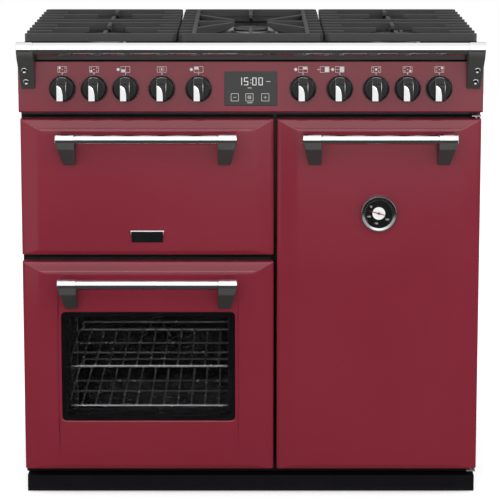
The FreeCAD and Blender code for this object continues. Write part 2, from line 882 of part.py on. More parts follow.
def shelf_supports():
    """Wire ladders on the side walls of the three ovens."""
    grill_rungs = [rung_height(grill_cavity_z, grill_rung_share)]
    main_rungs = [rung_height(main_cavity_z, share) for share in main_shelf_shares + (spare_rung_share,)]
    tall_rungs = [rung_height(tall_cavity_z, share) for share in main_shelf_shares[:1] + tall_shelf_shares
                  + (spare_rung_share,)]
    return group([ladder_wires(left_cavity_x, grill_cavity_z, grill_rungs),
                  ladder_wires(left_cavity_x, main_cavity_z, main_rungs),
                  ladder_wires(right_cavity_x, tall_cavity_z, tall_rungs)])


def flat_height(radius):
    """Distance from a rod's axis to its flats."""
    return radius * math.cos(math.pi / rod_sides)


def oven_shelf(x_range, z_range, share):
    """Wire shelf on its rungs: a frame of rods with the long wires on it."""
    z = rung_height(z_range, share) + flat_height(wire_radius) + running_gap + flat_height(rod_radius)
    x0, x1 = inset(x_range, shelf_side_gap)
    y0 = casing_y + shelf_front_set
    y1 = y0 + shelf_depth
    solids = []
    for x in (x0, x1):
        solids.append(faceted_rod(Vec(x, y0, z), Vec(x, y1, z), rod_radius, rod_sides))
    for y in (y0 + rod_radius, y1 - rod_radius):
        solids.append(faceted_rod(Vec(x0, y, z), Vec(x1, y, z), rod_radius, rod_sides))
    count = int((x1 - x0) / shelf_pitch)
    for index in range(1, count):
        x = x0 + index * (x1 - x0) / count
        solids.append(faceted_rod(Vec(x, y0 + rod_radius, z + rod_radius), Vec(x, y1 - rod_radius, z + rod_radius),
                                  wire_radius, wire_sides))
    return joined(solids)


def grill_pan():
    """Pressed pan on the grill oven's rungs."""
    z0 = rung_height(grill_cavity_z, grill_rung_share) + flat_height(wire_radius) + running_gap
    x_range = inset(left_cavity_x, pan_side_gap)
    y_range = (casing_y + shelf_front_set, casing_y + shelf_front_set + shelf_depth)
    lip = 2 * wire_radius
    tray = block(inset(x_range, lip), inset(y_range, lip), (z0 - grill_pan_height + grill_pan_wall, z0))
    rim = block(x_range, y_range, (z0, z0 + grill_pan_wall))
    hollow = block(inset(x_range, lip + grill_pan_wall), inset(y_range, lip + grill_pan_wall),
                   (z0 - grill_pan_height + 2 * grill_pan_wall, z0 + 2 * grill_pan_wall))
    return tray.fuse(rim).removeSplitter().cut(hollow)


def grill_element():
    """Bent tube under the roof of the grill oven, with both ends in its rear wall."""
    z = grill_cavity_z[1] - element_drop
    x0, x1 = inset(left_cavity_x, element_margin)
    pitch = (x1 - x0) / (element_passes - 1)
    bend = pitch / 2
    far, near = casing_y + element_front_gap, cavity_back - bend - element_margin
    edges = []
    for index in range(element_passes):
        x = x0 + index * pitch
        start = cavity_back if index == 0 else near
        end = cavity_back if index == element_passes - 1 else near
        ahead = index % 2 == 0
        ends = (Vec(x, start, z), Vec(x, far, z)) if ahead else (Vec(x, far, z), Vec(x, end, z))
        edges.append(Part.LineSegment(*ends).toShape())
        if index < element_passes - 1:
            turn = far if ahead else near
            crest = turn - bend if ahead else turn + bend
            arc = Part.Arc(Vec(x, turn, z), Vec(x + bend, crest, z), Vec(x + pitch, turn, z))
            edges.append(arc.toShape())
    path = Part.Wire(edges)
    corners = []
    for index in range(rod_sides + 1):
        turn = 2 * math.pi * index / rod_sides
        corners.append(Vec(x0 + element_radius * math.cos(turn), cavity_back, z + element_radius * math.sin(turn)))
    return path.makePipeShell([Part.makePolygon(corners)], True, False)


def door_seals():
    """Flat seal round the mouth of each oven, on the front frame."""
    solids = []
    for x_range, z_range in cavities():
        outer = block(inset(x_range, -seal_margin - seal_width), (frame_y - seal_thickness, frame_y),
                      inset(z_range, -seal_margin - seal_width))
        solids.append(outer.cut(block(inset(x_range, -seal_margin), (frame_y - 2 * seal_thickness, casing_y),
                                      inset(z_range, -seal_margin))))
    return group(solids)


# Doors

def shell_form(x_range, z_range, wall):
    """Raised door form, smaller all round by wall."""
    x0, x1 = inset(x_range, wall)
    z0, z1 = inset(z_range, wall)
    rim = rim_y + wall
    face = face_y + wall
    back = panel_y + wall
    width_form = prism([Vec(x0, back, z0), Vec(x0, rim, z0), Vec(x0 + bevel_side, face, z0),
                        Vec(x1 - bevel_side, face, z0), Vec(x1, rim, z0), Vec(x1, back, z0)], Vec(0, 0, z1 - z0))
    height_form = side_prism([(back, z0), (rim, z0), (face, z0 + bevel_foot), (face, z1 - bevel_top), (rim, z1),
                              (back, z1)], (x0, x1))
    return width_form.common(height_form)


def door_panel(x_range, z_range):
    """Pressed outer panel: a bevelled face with its edges turned back."""
    return shell_form(x_range, z_range, 0).cut(shell_form(x_range, z_range, sheet))


def door_liner(x_range, z_range):
    """Inner half of a door: a pressed tray that closes the panel from behind."""
    x_tray, z_tray = inset(x_range, liner_inset), inset(z_range, liner_inset)
    tray = rounded_block(x_tray, (panel_y, door_back), z_tray, liner_inset)
    return tray.cut(block(inset(x_tray, sheet), (panel_y - sheet, door_back - sheet), inset(z_tray, sheet)))


def arm_places(x_range):
    """Left edge of the two hinge arms under a drop-down door."""
    return (x_range[0] + arm_inset, x_range[1] - arm_inset - arm_width)


def hinge_ears(x_range, z_low):
    """Blocks in the foot of a drop-down door, each side of its hinge arms, bored for the pins."""
    solids = []
    pivot_z = z_low + pivot_up
    for x in arm_places(x_range):
        x_ears = (x - arm_clearance - ear_width, x + arm_width + arm_clearance + ear_width)
        ear = block(x_ears, (rim_y + sheet, door_back), (z_low + liner_inset, pivot_z + arm_height))
        bore = faceted_hole(Vec(x - pin_entry, pivot_y, pivot_z), Vec(x + arm_width + pin_entry, pivot_y, pivot_z),
                            pin_radius + shaft_clearance, pin_sides)
        solids.append(ear.cut(bore))
    return solids


def hinge_notches(x_range, z_low):
    """Room for the hinge arms in the foot of a drop-down door."""
    reach = math.hypot(arm_height / 2, arm_height / 2) + arm_clearance / 2
    solids = []
    for x in arm_places(x_range):
        solids.append(block((x - arm_clearance, x + arm_width + arm_clearance),
                            (pivot_y - reach, door_back + sheet), (z_low - sheet, z_low + pivot_up + reach)))
    return group(solids)


def drop_door(x_range, z_range):
    """Panel and liner of a door that is hinged along its foot."""
    notches = hinge_notches(x_range, z_range[0])
    panel = door_panel(x_range, z_range).cut(notches)
    backing = joined([door_liner(x_range, z_range)] + hinge_ears(x_range, z_range[0])).cut(notches)
    return panel, backing


def window_ranges():
    """Width and height of the window in the main oven door."""
    x_mid = (left_x0 + left_x1) / 2 - window_centre_drop
    z_low = door_bottom + window_up
    return (x_mid - window_width / 2, x_mid + window_width / 2), (z_low, z_low + window_height)


def glazed_door(panel, backing):
    """Main oven door with its window cut out, and the outer and inner panes."""
    x_range, z_range = window_ranges()
    through = rounded_block(x_range, (face_y - sheet, face_y + 2 * sheet), z_range, window_radius)
    sight = block(inset(x_range, inner_pane_margin), (face_y, door_back + sheet), inset(z_range, inner_pane_margin))
    seat = (door_back - sheet - glass_thickness, door_back - sheet)
    inner = block(inset(x_range, inner_pane_margin / 2), seat, inset(z_range, inner_pane_margin / 2))
    outer = rounded_block(x_range, (face_y - glass_proud, face_y - glass_proud + glass_thickness), z_range,
                          window_radius)
    return panel.cut(through), backing.cut(sight), group([outer, inner])


def tall_door_panel():
    """Outer panel of the side-hinged door, with a hole in each end for the hinge pins."""
    x_range, z_range = (right_x0, right_x1), (door_bottom, door_top)
    solid = door_panel(x_range, z_range)
    start, end = Vec(tall_pivot_x(), pivot_y, door_bottom - sheet), Vec(tall_pivot_x(), pivot_y, door_top + sheet)
    return solid.cut(faceted_hole(start, end, pin_radius + shaft_clearance, pin_sides))


def tall_pivot_x():
    """Pin line of the side-hinged door."""
    return right_x1 - pivot_in


def door_hinges():
    """Arms with cross pins under the drop-down doors, and plates with upright pins for the tall door."""
    solids = []
    for z_low in (grill_door_bottom, door_bottom):
        pivot_z = z_low + pivot_up
        for x in arm_places((left_x0, left_x1)):
            arm = block((x, x + arm_width), (pivot_y - arm_height / 2, frame_y),
                        (pivot_z - arm_height / 2, pivot_z + arm_height / 2))
            grip = pin_entry - running_gap
            pin = faceted_rod(Vec(x - grip, pivot_y, pivot_z), Vec(x + arm_width + grip, pivot_y, pivot_z),
                              pin_radius, pin_sides)
            solids.append(joined([arm, pin]))
    x = tall_pivot_x()
    for z_edge, way in ((door_top, 1), (door_bottom, -1)):
        z_near = z_edge + way * plate_gap
        z_far = z_near + way * plate_thickness
        plate = block((x - plate_reach, x + plate_reach), (pivot_y - plate_reach, frame_y),
                      tuple(sorted((z_near, z_far))))
        pin = faceted_rod(Vec(x, pivot_y, z_near), Vec(x, pivot_y, z_edge - way * pin_entry), pin_radius, pin_sides)
        solids.append(joined([plate, pin]))
    return group(solids)


def door_handle(x_mid, z, length):
    """Round bar with end sleeves on two tapered brackets."""
    low = z - bracket_drop
    x0, x1 = x_mid - length / 2, x_mid + length / 2
    bar = []
    for start, end, radius in ((x0, x1, handle_radius), (x0, x0 + sleeve_length, sleeve_radius),
                               (x1 - sleeve_length, x1, sleeve_radius)):
        bar.append(faceted_rod(Vec(start, handle_y, z), Vec(end, handle_y, z), radius, handle_sides))
    rail = joined(bar)
    outline = [(face_y, low), (face_y - bracket_toe, low), (handle_y - handle_radius, z - 2 * handle_radius),
               (handle_y - handle_radius, z), (handle_y + handle_radius, z), (face_y, z - bracket_throat)]
    solids = [rail]
    for outer, way in ((x0, 1), (x1, -1)):
        solid = bracket(outline, outer, outer + way * sleeve_length, bracket_foot / sleeve_length, (low, z),
                        (handle_y - sleeve_radius, face_y))
        solids.append(solid.cut(rail))
    return group(solids)


# Thermometer

def gauge_place():
    """Centre of the thermometer on the tall door's face."""
    return Vec((right_x0 + right_x1) / 2, face_y, door_bottom + gauge_up)


def gauge_body():
    """Rim, sloping surround and dial, with the pin that carries the needle."""
    place = gauge_place()
    profile = [(0, 0), (gauge_radius, 0), (gauge_radius, gauge_height), (gauge_radius - gauge_rim, gauge_height),
               (dial_radius, dial_height), (0, dial_height)]
    tip = Vec(place.x, place.y - gauge_height + gauge_rim, place.z)
    return turned(profile, place, Vec(0, -1, 0), gauge_sides).fuse(faceted_rod(place, tip, needle_pin, pin_sides))


def gauge_needle():
    """Needle on its hub, a little clear of the dial."""
    place = gauge_place()
    low = place.y - dial_height - running_gap
    hub = faceted_rod(Vec(0, low - 2 * needle_thickness, 0), Vec(0, low, 0), needle_hub, neck_sides)
    blade = front_prism([(-needle_length, -needle_width / 4), (needle_length / 2, -needle_width),
                         (needle_length / 2, needle_width), (-needle_length, needle_width / 4)],
                        (low - needle_thickness, low))
    bore = faceted_hole(Vec(0, low - gauge_height, 0), Vec(0, low + gauge_height, 0),
                        needle_pin + shaft_clearance, pin_sides)
    solid = hub.fuse(blade).cut(bore)
    solid.rotate(Vec(0, 0, 0), Vec(0, 1, 0), needle_slope)
    solid.translate(Vec(place.x, 0, place.z))
    return solid


def build():
    """Fill the table of parts, one entry for each node."""
    parts["casing_sheets"] = casing_sheets()
    parts["rear_panel"] = rear_panel()
    parts["front_frame"] = front_frame()
    parts["plinth"] = plinth()
    parts["levelling_feet"] = levelling_feet()
    parts["hob_top"] = hob_top()
    parts["burner_crowns"] = burner_crowns()
    parts["burner_caps"] = burner_caps()
    parts["hand_rail"] = hand_rail()
    parts["rail_brackets"] = rail_brackets()
    parts["control_fascia"] = control_fascia()
    parts["knob_bezels"] = knob_bezels()
    parts["clock_display"] = clock_display()
    parts["gas_rail"] = gas_rail()
    parts["oven_switches"] = oven_switches()
    parts["grill_liner"] = liner(left_cavity_x, grill_cavity_z, False)
    parts["main_oven_liner"] = liner(left_cavity_x, main_cavity_z, True)
    parts["tall_oven_liner"] = liner(right_cavity_x, tall_cavity_z, True)
    parts["grill_element"] = grill_element()
    parts["fan_covers"] = fan_covers()
    parts["fan_motors"] = fan_motors()
    parts["shelf_supports"] = shelf_supports()
    parts["door_seals"] = door_seals()
    parts["door_hinges"] = door_hinges()
    parts["pan_support_left"] = outer_support(-1)
    parts["pan_support_centre"] = centre_support()
    parts["pan_support_right"] = outer_support(1)
    left_x = (left_x0, left_x1)
    panel, backing = drop_door(left_x, (grill_door_bottom, door_top))
    parts["grill_door_panel"] = panel
    parts["grill_door_liner"] = backing
    parts["grill_door_handle"] = door_handle(middle(left_x), door_top - handle_drop, wide_handle_length)
    panel, backing, glass = glazed_door(*drop_door(left_x, (door_bottom, main_door_top)))
    parts["main_door_panel"] = panel
    parts["main_door_liner"] = backing
    parts["main_door_glass"] = glass
    parts["main_door_handle"] = door_handle(middle(left_x), main_door_top - main_handle_drop,
                                            wide_handle_length)
    right_x = (right_x0, right_x1)
    parts["tall_door_panel"] = tall_door_panel()
    parts["tall_door_liner"] = door_liner(right_x, (door_bottom, door_top))
    parts["tall_door_handle"] = door_handle(middle(right_x), door_top - handle_drop, tall_handle_length)
    parts["gauge_body"] = gauge_body()
    parts["gauge_needle"] = gauge_needle()
    parts["main_oven_fan"] = oven_fan(left_cavity_x, main_cavity_z)
    parts["tall_oven_fan"] = oven_fan(right_cavity_x, tall_cavity_z)
    parts["main_shelf_lower"] = oven_shelf(left_cavity_x, main_cavity_z, main_shelf_shares[0])
    parts["main_shelf_upper"] = oven_shelf(left_cavity_x, main_cavity_z, main_shelf_shares[1])
    parts["tall_oven_shelf"] = oven_shelf(right_cavity_x, tall_cavity_z, tall_shelf_shares[0])
    parts["grill_pan"] = grill_pan()
    for index in range(knob_count):
        parts["knob_%02d" % (index + 1)] = knob(index)
        if index + 1 in gas_knobs:
            parts["tap_spindle_%02d" % (index + 1)] = tap_spindle(index)


build()
os.makedirs("parts", exist_ok=True)
for name, shape in parts.items():
    shape.exportStep(os.path.join("parts", name + ".step"))
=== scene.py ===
"""Dresses the range cooker: its finishes, rounded forms and fittings, the studio and the camera."""

import json
import math

import bmesh
import bpy
from mathutils import Matrix, Vector


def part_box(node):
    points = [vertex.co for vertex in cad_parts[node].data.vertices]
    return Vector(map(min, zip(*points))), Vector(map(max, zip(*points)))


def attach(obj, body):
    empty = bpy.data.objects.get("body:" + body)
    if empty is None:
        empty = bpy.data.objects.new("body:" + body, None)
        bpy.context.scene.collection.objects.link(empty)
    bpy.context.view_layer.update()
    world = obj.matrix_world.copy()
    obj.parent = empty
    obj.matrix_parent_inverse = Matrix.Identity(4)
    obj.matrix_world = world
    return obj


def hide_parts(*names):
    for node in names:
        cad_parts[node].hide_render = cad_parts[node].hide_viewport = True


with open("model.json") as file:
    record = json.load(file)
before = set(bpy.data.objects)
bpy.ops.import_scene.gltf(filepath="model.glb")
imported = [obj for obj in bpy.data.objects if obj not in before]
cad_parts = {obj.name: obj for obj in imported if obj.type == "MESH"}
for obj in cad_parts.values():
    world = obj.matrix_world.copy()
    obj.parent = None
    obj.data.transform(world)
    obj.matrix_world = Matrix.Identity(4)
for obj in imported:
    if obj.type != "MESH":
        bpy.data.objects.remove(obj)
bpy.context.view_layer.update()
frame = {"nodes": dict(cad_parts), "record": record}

bl_info = {
    "name": "Range Cooker",
    "version": (1, 0, 0),
    "blender": (4, 5, 0),
    "location": "3D View > Sidebar > Cooker",
    "description": "Dresses a range cooker with finishes, fittings and a studio",
    "category": "Object",
}

MM = 0.001
DROP_DOORS = {"grill_door": "grill_door_panel", "main_door": "main_door_panel"}
KNOBS = ["knob_%02d" % place for place in range(1, 11)]
GAS_KNOBS = (1, 2, 8, 9, 10)
ROUND_STEPS = 48
FORWARD, UP = (0, -1, 0), (0, 0, 1)
WHITE = (1, 1, 1, 1)
SUNK = 0.2 * MM  # how far a fitting reaches into what carries it
WELD = 0.02 * MM  # vertices nearer than this are one
ON_FACE = 0.1 * MM  # vertices nearer than this to a face lie on it
POLE = 0.01 * MM  # radius that closes the end of a turned form

# How far the edges of the plain pieces are softened, in millimetres
SOFT_EDGES = {"casing_sheets": 0.5, "rear_panel": 0.3, "front_frame": 0.4, "plinth": 0.8, "door_hinges": 0.5,
              "gas_rail": 0.6, "oven_switches": 1, "fan_covers": 0.5, "grill_pan": 0.6, "main_oven_fan": 0.3,
              "tall_oven_fan": 0.3, "fan_motors": 0.8, "door_seals": 0.7, "grill_door_liner": 0.8,
              "main_door_liner": 0.8, "tall_door_liner": 0.8, "control_fascia": 0.9, "hob_top": 1.2,
              "pan_support_left": 1, "pan_support_centre": 1, "pan_support_right": 1}


def length(name, description, default):
    """Property that holds a length in metres."""
    return bpy.props.FloatProperty(name=name, description=description, default=default, unit="LENGTH",
                                   precision=4)


def number(name, description, default, **kind):
    """Property that holds any other number."""
    return bpy.props.FloatProperty(name=name, description=description, default=default, **kind)


def colour(name, description, default):
    """Property that holds a colour."""
    return bpy.props.FloatVectorProperty(name=name, description=description, default=default,
                                         subtype="COLOR", size=3, min=0, max=1)


# Sizes and colours

class CookerColours(bpy.types.PropertyGroup):
    """Colours of the finishes."""

    door: colour("Doors", "Burgundy enamel of the doors", (0.215, 0.018, 0.034))
    fascia: colour("Fascia", "Burgundy enamel of the control fascia", (0.19, 0.015, 0.03))
    black: colour("Black", "Gloss black of knobs, hob and glass", (0.007, 0.008, 0.008))
    casing: colour("Casing", "Satin black paint of the casing", (0.022, 0.022, 0.024))
    iron: colour("Iron", "Matt enamel on the pan supports", (0.05, 0.05, 0.051))
    bracket: colour("Brackets", "Satin grey of the handle and rail brackets", (0.042, 0.042, 0.04))
    chrome: colour("Chrome", "Polished chrome", (0.86, 0.86, 0.87))
    oven: colour("Ovens", "Vitreous enamel inside the ovens", (0.014, 0.014, 0.016))
    alloy: colour("Burner alloy", "Cast alloy of the burner crowns", (0.26, 0.26, 0.255))
    display: colour("Display", "Printed glass of the clock", (0.02, 0.021, 0.02))
    print: colour("Print", "Printed symbols and digits", (0.75, 0.73, 0.72))
    needle: colour("Needle", "Thermometer needle", (0.2, 0.006, 0.016))


class DoorSizes(bpy.types.PropertyGroup):
    """Sizes of the pressed doors, their handles and the badge plate."""

    bevel_side: length("Side slope", "Width of the sloping edge at the sides", 37 * MM)
    bevel_top: length("Top slope", "Height of the sloping edge at the top", 21 * MM)
    bevel_foot: length("Foot slope", "Height of the sloping edge at the foot", 10 * MM)
    bevel_rise: length("Slope depth", "How far the centre stands in front of the rim", 7 * MM)
    corner: length("Corner radius", "Radius of the door's corners", 3 * MM)
    press: length("Press radius", "Radius of the bends in the pressed sheet", 5 * MM)
    sheet: length("Sheet", "Thickness of the pressed sheet", 1.5 * MM)
    bar: length("Bar radius", "Radius of the handle's bar", 9.6 * MM)
    sleeve: length("Sleeve radius", "Radius of the handle's end sleeves", 11 * MM)
    sleeve_length: length("Sleeve length", "Length of the handle's end sleeves", 37 * MM)
    bracket_foot: length("Bracket foot", "Width of the handle's bracket at its foot", 24 * MM)
    badge_width: length("Badge width", "Width of the bare badge plate", 66.7 * MM)
    badge_height: length("Badge height", "Height of the bare badge plate", 23.6 * MM)
    badge_up: length("Badge height above the foot", "From the door's foot to the badge's centre", 38.5 * MM)
    arm_inset: length("Hinge arm inset", "From a drop-down door's side to its hinge arm", 30 * MM)
    arm_width: length("Hinge arm width", "Thickness of a hinge arm", 5 * MM)
    arm_height: length("Hinge arm height", "Height of a hinge arm", 8 * MM)


class ControlSizes(bpy.types.PropertyGroup):
    """Sizes of the knobs, the symbols and the clock."""

    knob: length("Knob radius", "Radius of a knob", 24 * MM)
    skirt: length("Knob skirt", "Depth of the round base of a knob", 13 * MM)
    reach: length("Knob depth", "Whole depth of a knob", 34 * MM)
    grip: length("Grip width", "Width of the grip bar", 20 * MM)
    grip_low: length("Grip face below", "From a knob's centre down to the lower edge of its face", 20.5 * MM)
    grip_high: length("Grip face above", "From a knob's centre up to the upper edge of its face", 10.5 * MM)
    lean: length("Face lean", "How far the grip's face leans back at its upper edge", 1.5 * MM)
    inlay: length("Inlay width", "Width of the chrome inlay on the grip", 11.6 * MM)
    bezel: length("Bezel radius", "Outer radius of the ring round a knob", 26.6 * MM)
    bore: length("Bezel bore", "Inner radius of the ring round a knob", 24.8 * MM)
    symbol_width: length("Symbol width", "Width of a printed symbol", 18 * MM)
    symbol_height: length("Symbol height", "Height of a printed symbol", 12 * MM)
    symbol_up: length("Symbol height above the knob", "From a knob's centre to its symbol", 37 * MM)
    line: length("Print line", "Width of a printed line", 0.55 * MM)
    print_lift: length("Print lift", "Thickness of the print", 0.12 * MM)
    digit_height: length("Digit height", "Height of the clock's digits", 15 * MM)
    digit_width: length("Digit width", "Width of the clock's digits", 8 * MM)
    key: length("Key size", "Side of a touch key", 15 * MM)


class HobSizes(bpy.types.PropertyGroup):
    """Sizes of the burners and pan supports."""

    burner_x: length("Burner distance", "From the middle of the hob to the outer burners", 285 * MM)
    small: length("Small burner", "Radius of the rear right burner", 28 * MM)
    middle: length("Middle burner", "Radius of the left burners", 34 * MM)
    wok: length("Wok burner", "Radius of the central burner", 36 * MM)
    large: length("Large burner", "Radius of the front right burner", 48 * MM)
    flare: length("Crown flare", "How far a crown's foot is wider than its cap", 5 * MM)
    crown: length("Crown height", "Height of a burner's crown", 9 * MM)
    cap: length("Cap thickness", "Thickness of a burner's cap", 5 * MM)
    wok_inner: length("Wok ring inside", "Inner radius of the wok burner's ring", 49 * MM)
    wok_outer: length("Wok ring outside", "Outer radius of the wok burner's ring", 60 * MM)
    wok_height: length("Wok ring height", "Height of the wok burner's ring", 10 * MM)
    bar: length("Bar width", "Width of a pan support's bar", 8 * MM)
    bars: bpy.props.IntProperty(name="Bars", description="Cross bars of a pan support, front to rear",
                                default=10)
    burner_bar: bpy.props.IntProperty(name="Burner bar", description="Bar that the burners stand on",
                                      default=2)


class StudioSettings(bpy.types.PropertyGroup):
    """Camera place and light."""

    distance: length("Camera distance", "From the camera to the door faces", 4.6)
    height: length("Camera height", "Height of the camera above the floor", 1.4)
    pitch: number("Pitch", "How far the camera looks down", math.radians(10.11), subtype="ANGLE")
    lens: number("Lens", "Focal length in millimetres", 172.2)
    shift_x: number("Shift X", "Sideways shift of the lens", -0.0016)
    shift_y: number("Shift Y", "Upward shift of the lens", -0.08)
    key: number("Front light", "Power of the high front light", 31, unit="POWER")
    fill: number("Side light", "Power of the light on the right", 9, unit="POWER")
    strip: number("Strip light", "Power of the long light at eye height", 13, unit="POWER")
    sky: number("Sky", "Strength of the surrounding light", 0.84)
    # The fade, glow and card settings below shape glowing cards that only reflections see: painted
    # reflections.
    fade_start: length("Fade start", "Distance in front at which the reflected floor starts to lighten", 3.08)
    fade_end: length("Fade end", "Distance in front at which the reflected floor is white", 5.9)
    fade_slant: number("Fade slant", "How much later the floor lightens to the left", 3.0)
    side_glow: number("Side glow", "Light of the floor to the left in reflections", 0.5)
    rear_card: length("Rear card height", "Height of the dark card behind the hob that reflections see", 1.1)
    rear_glow: number("Rear card glow", "Light of the dark card behind the hob", 0.01)
    near_glow: number("Near glow", "Light of the reflected floor near the cooker", 0.05)
    floor_lift: number("Floor lift", "Light added to the floor as it is seen", 0.5)


# Nodes

def wire(tree, node, *places, **named):
    """Gives a node its lower-case values, then its inputs by place or name, each a value or a link."""
    inputs = dict(enumerate(places))
    for name, value in named.items():
        if name.islower():
            setattr(node, name, value)
        else:
            inputs[name.replace("_", " ")] = value
    for key, value in inputs.items():
        if isinstance(value, bpy.types.NodeSocket):
            tree.links.new(value, node.inputs[key])
        else:
            node.inputs[key].default_value = value
    return node


def new_node(tree, kind, *places, **named):
    """New node with its values and inputs."""
    return wire(tree, tree.nodes.new(kind), *places, **named)


def add_sockets(tree, side, **kinds):
    """Adds sockets of the given kinds to one side of a group."""
    for name, kind in kinds.items():
        tree.interface.new_socket(name, in_out=side, socket_type="NodeSocket" + kind)


# Finishes

def noise(tree, vector, scale, detail=2):
    """Noise over a vector."""
    return new_node(tree, "ShaderNodeTexNoise", Vector=vector, Scale=scale, Detail=detail).outputs["Fac"]


def cells(tree, vector, scale):
    """Sockets of a cell texture over a vector."""
    return new_node(tree, "ShaderNodeTexVoronoi", Vector=vector, Scale=scale).outputs


def uneven_gloss(tree, vector, scale):
    """Slow waviness of a sprayed or fired coat."""
    wave = noise(tree, vector, scale, 3)
    return wave, wave, wave


def cast_grain(tree, vector, scale):
    """Fine pits of a casting or a moulded face over slow mottling."""
    mottling = noise(tree, vector, 25)
    return mottling, mottling, noise(tree, vector, scale)


def brushed_grain(tree, vector, scale):
    """Fine lines along X of rolled or polished metal."""
    stretch = new_node(tree, "ShaderNodeMapping", Vector=vector, Scale=(0.02, 1, 1))
    lines = noise(tree, stretch.outputs["Vector"], scale)
    return lines, lines, lines


def flecks(tree, vector, scale):
    """Small pale flecks scattered in a fired enamel."""
    edge = new_node(tree, "ShaderNodeMapRange", Value=cells(tree, vector, scale)["Distance"],
                    From_Min=0.28, From_Max=0.12)
    slow = noise(tree, vector, 40)
    return edge.outputs["Result"], slow, slow


def spangle(tree, vector, scale):
    """Crystals of hot-dip zinc: flat patches of slightly different grey and gloss."""
    grey = new_node(tree, "ShaderNodeSeparateColor", Color=cells(tree, vector, scale)["Color"]).outputs
    return grey["Red"], grey["Blue"], grey["Green"]


EFFECTS = {"Uneven Gloss": uneven_gloss, "Cast Grain": cast_grain, "Brushed Grain": brushed_grain,
           "Flecks": flecks, "Spangle": spangle}


def effect_group(name):
    """Shader group of an effect, which puts out a mask, a roughness from Low to High and a height."""
    tree = bpy.data.node_groups.get(name)
    if tree:
        return tree
    tree = bpy.data.node_groups.new(name, "ShaderNodeTree")
    add_sockets(tree, "INPUT", Vector="Vector", Scale="Float", Low="Float", High="Float")
    add_sockets(tree, "OUTPUT", Mask="Float", Roughness="Float", Height="Float")
    start = tree.nodes.new("NodeGroupInput").outputs
    mask, gloss, height = EFFECTS[name](tree, start["Vector"], start["Scale"])
    spread = new_node(tree, "ShaderNodeMapRange", Value=gloss, From_Min=0.3, From_Max=0.7,
                      To_Min=start["Low"], To_Max=start["High"])
    new_node(tree, "NodeGroupOutput", Mask=mask, Roughness=spread.outputs["Result"], Height=height)
    return tree


def finish(name, base, second, effect="Uneven Gloss", scale=12.0, roughness=(0.1, 0.2), bump=0.0, **plain):
    """Material with colour, roughness and bump from one effect; plain sets the shader's own sockets."""
    made = bpy.data.materials.get(name)
    if made:
        return made
    made = bpy.data.materials.new(name)
    made.use_nodes = True
    tree = made.node_tree
    place = tree.nodes.new("ShaderNodeTexCoord").outputs["Object"]
    group = new_node(tree, "ShaderNodeGroup", node_tree=effect_group(effect), Vector=place, Scale=scale,
                     Low=roughness[0], High=roughness[1]).outputs
    mix = new_node(tree, "ShaderNodeMix", data_type="RGBA", A=(*base, 1), B=(*second, 1),
                   Factor=group["Mask"])
    shader = wire(tree, tree.nodes["Principled BSDF"], Base_Color=mix.outputs["Result"],
                  Roughness=group["Roughness"], **plain)
    if bump:
        bumps = new_node(tree, "ShaderNodeBump", Distance=bump, Height=group["Height"])
        wire(tree, shader, Normal=bumps.outputs["Normal"])
    return made


def shade(base, factor):
    """Colour made lighter or darker by a factor."""
    return tuple(min(1.0, part * factor) for part in base)


def scene_colour(name):
    """One of the scene's colours."""
    return tuple(getattr(bpy.context.scene.cooker_colours, name))


def tinted(name, colour_name, low, high, *effect, **plain):
    """Finish in two shades of one of the scene's colours."""
    base = scene_colour(colour_name)
    return finish(name, shade(base, low), shade(base, high), *effect, **plain)


def door_enamel():
    return tinted("Burgundy enamel", "door", 0.94, 1.07, scale=4, roughness=(0.13, 0.18), bump=0.00002,
                  Specular_IOR_Level=0.5)


def fascia_enamel():
    return tinted("Fascia enamel", "fascia", 0.95, 1.06, scale=5, roughness=(0.13, 0.18), bump=0.00002,
                  Specular_IOR_Level=0.7)


def chrome():
    return tinted("Polished chrome", "chrome", 0.97, 1, scale=20, roughness=(0.09, 0.13), Metallic=1.0)


def wire_chrome():
    return tinted("Plated wire", "chrome", 1, 1.1, scale=60, roughness=(0.2, 0.28), Metallic=0.75)


def smoked_chrome():
    base = shade(scene_colour("chrome"), 0.4)
    return finish("Smoked chrome", shade(base, 0.9), base, scale=40, roughness=(0.12, 0.18), Metallic=1.0)


def gloss_black():
    return tinted("Gloss black", "black", 1, 1.5, scale=30, roughness=(0.08, 0.14), Specular_IOR_Level=0.18)


def knob_black():
    return finish("Knob moulding", (0.008, 0.0095, 0.0085), (0.011, 0.013, 0.012), scale=30,
                  roughness=(0.1, 0.16), Specular_IOR_Level=0.3)


def frame_black():
    return finish("Frame enamel", (0.01, 0.009, 0.009), (0.014, 0.013, 0.013), scale=12,
                  roughness=(0.14, 0.2), Specular_IOR_Level=0.3)


def hob_enamel():
    return tinted("Hob enamel", "black", 1, 1.8, scale=9, roughness=(0.14, 0.22), bump=0.00003)


def satin_black():
    return tinted("Satin black", "casing", 0.9, 1.3, "Cast Grain", 1400, (0.42, 0.52), bump=0.00004)


def plinth_black():
    return finish("Plinth paint", (0.006, 0.005, 0.007), (0.009, 0.008, 0.01), "Cast Grain", 1400, (0.5, 0.6),
                  bump=0.00004, Specular_IOR_Level=0.06)


def bracket_grey():
    return tinted("Bracket paint", "bracket", 0.9, 1.15, "Cast Grain", 1200, (0.42, 0.5), bump=0.00004)


def cast_iron():
    return tinted("Matt cast iron", "iron", 0.8, 1.25, "Cast Grain", 700, (0.5, 0.66), bump=0.00018,
                  Specular_IOR_Level=0.4)


def oven_enamel():
    base = scene_colour("oven")
    return finish("Speckled enamel", base, (0.06, 0.062, 0.066), "Flecks", 300, (0.16, 0.28), bump=0.00003,
                  Coat_Weight=0.3, Coat_Roughness=0.06)


def cap_enamel():
    return tinted("Matt cap enamel", "casing", 1, 1.5, "Cast Grain", 900, (0.34, 0.44), bump=0.00005)


def alloy():
    return tinted("Cast alloy", "alloy", 0.8, 1, "Cast Grain", 1500, (0.3, 0.42), bump=0.00006,
                  Metallic=1.0)


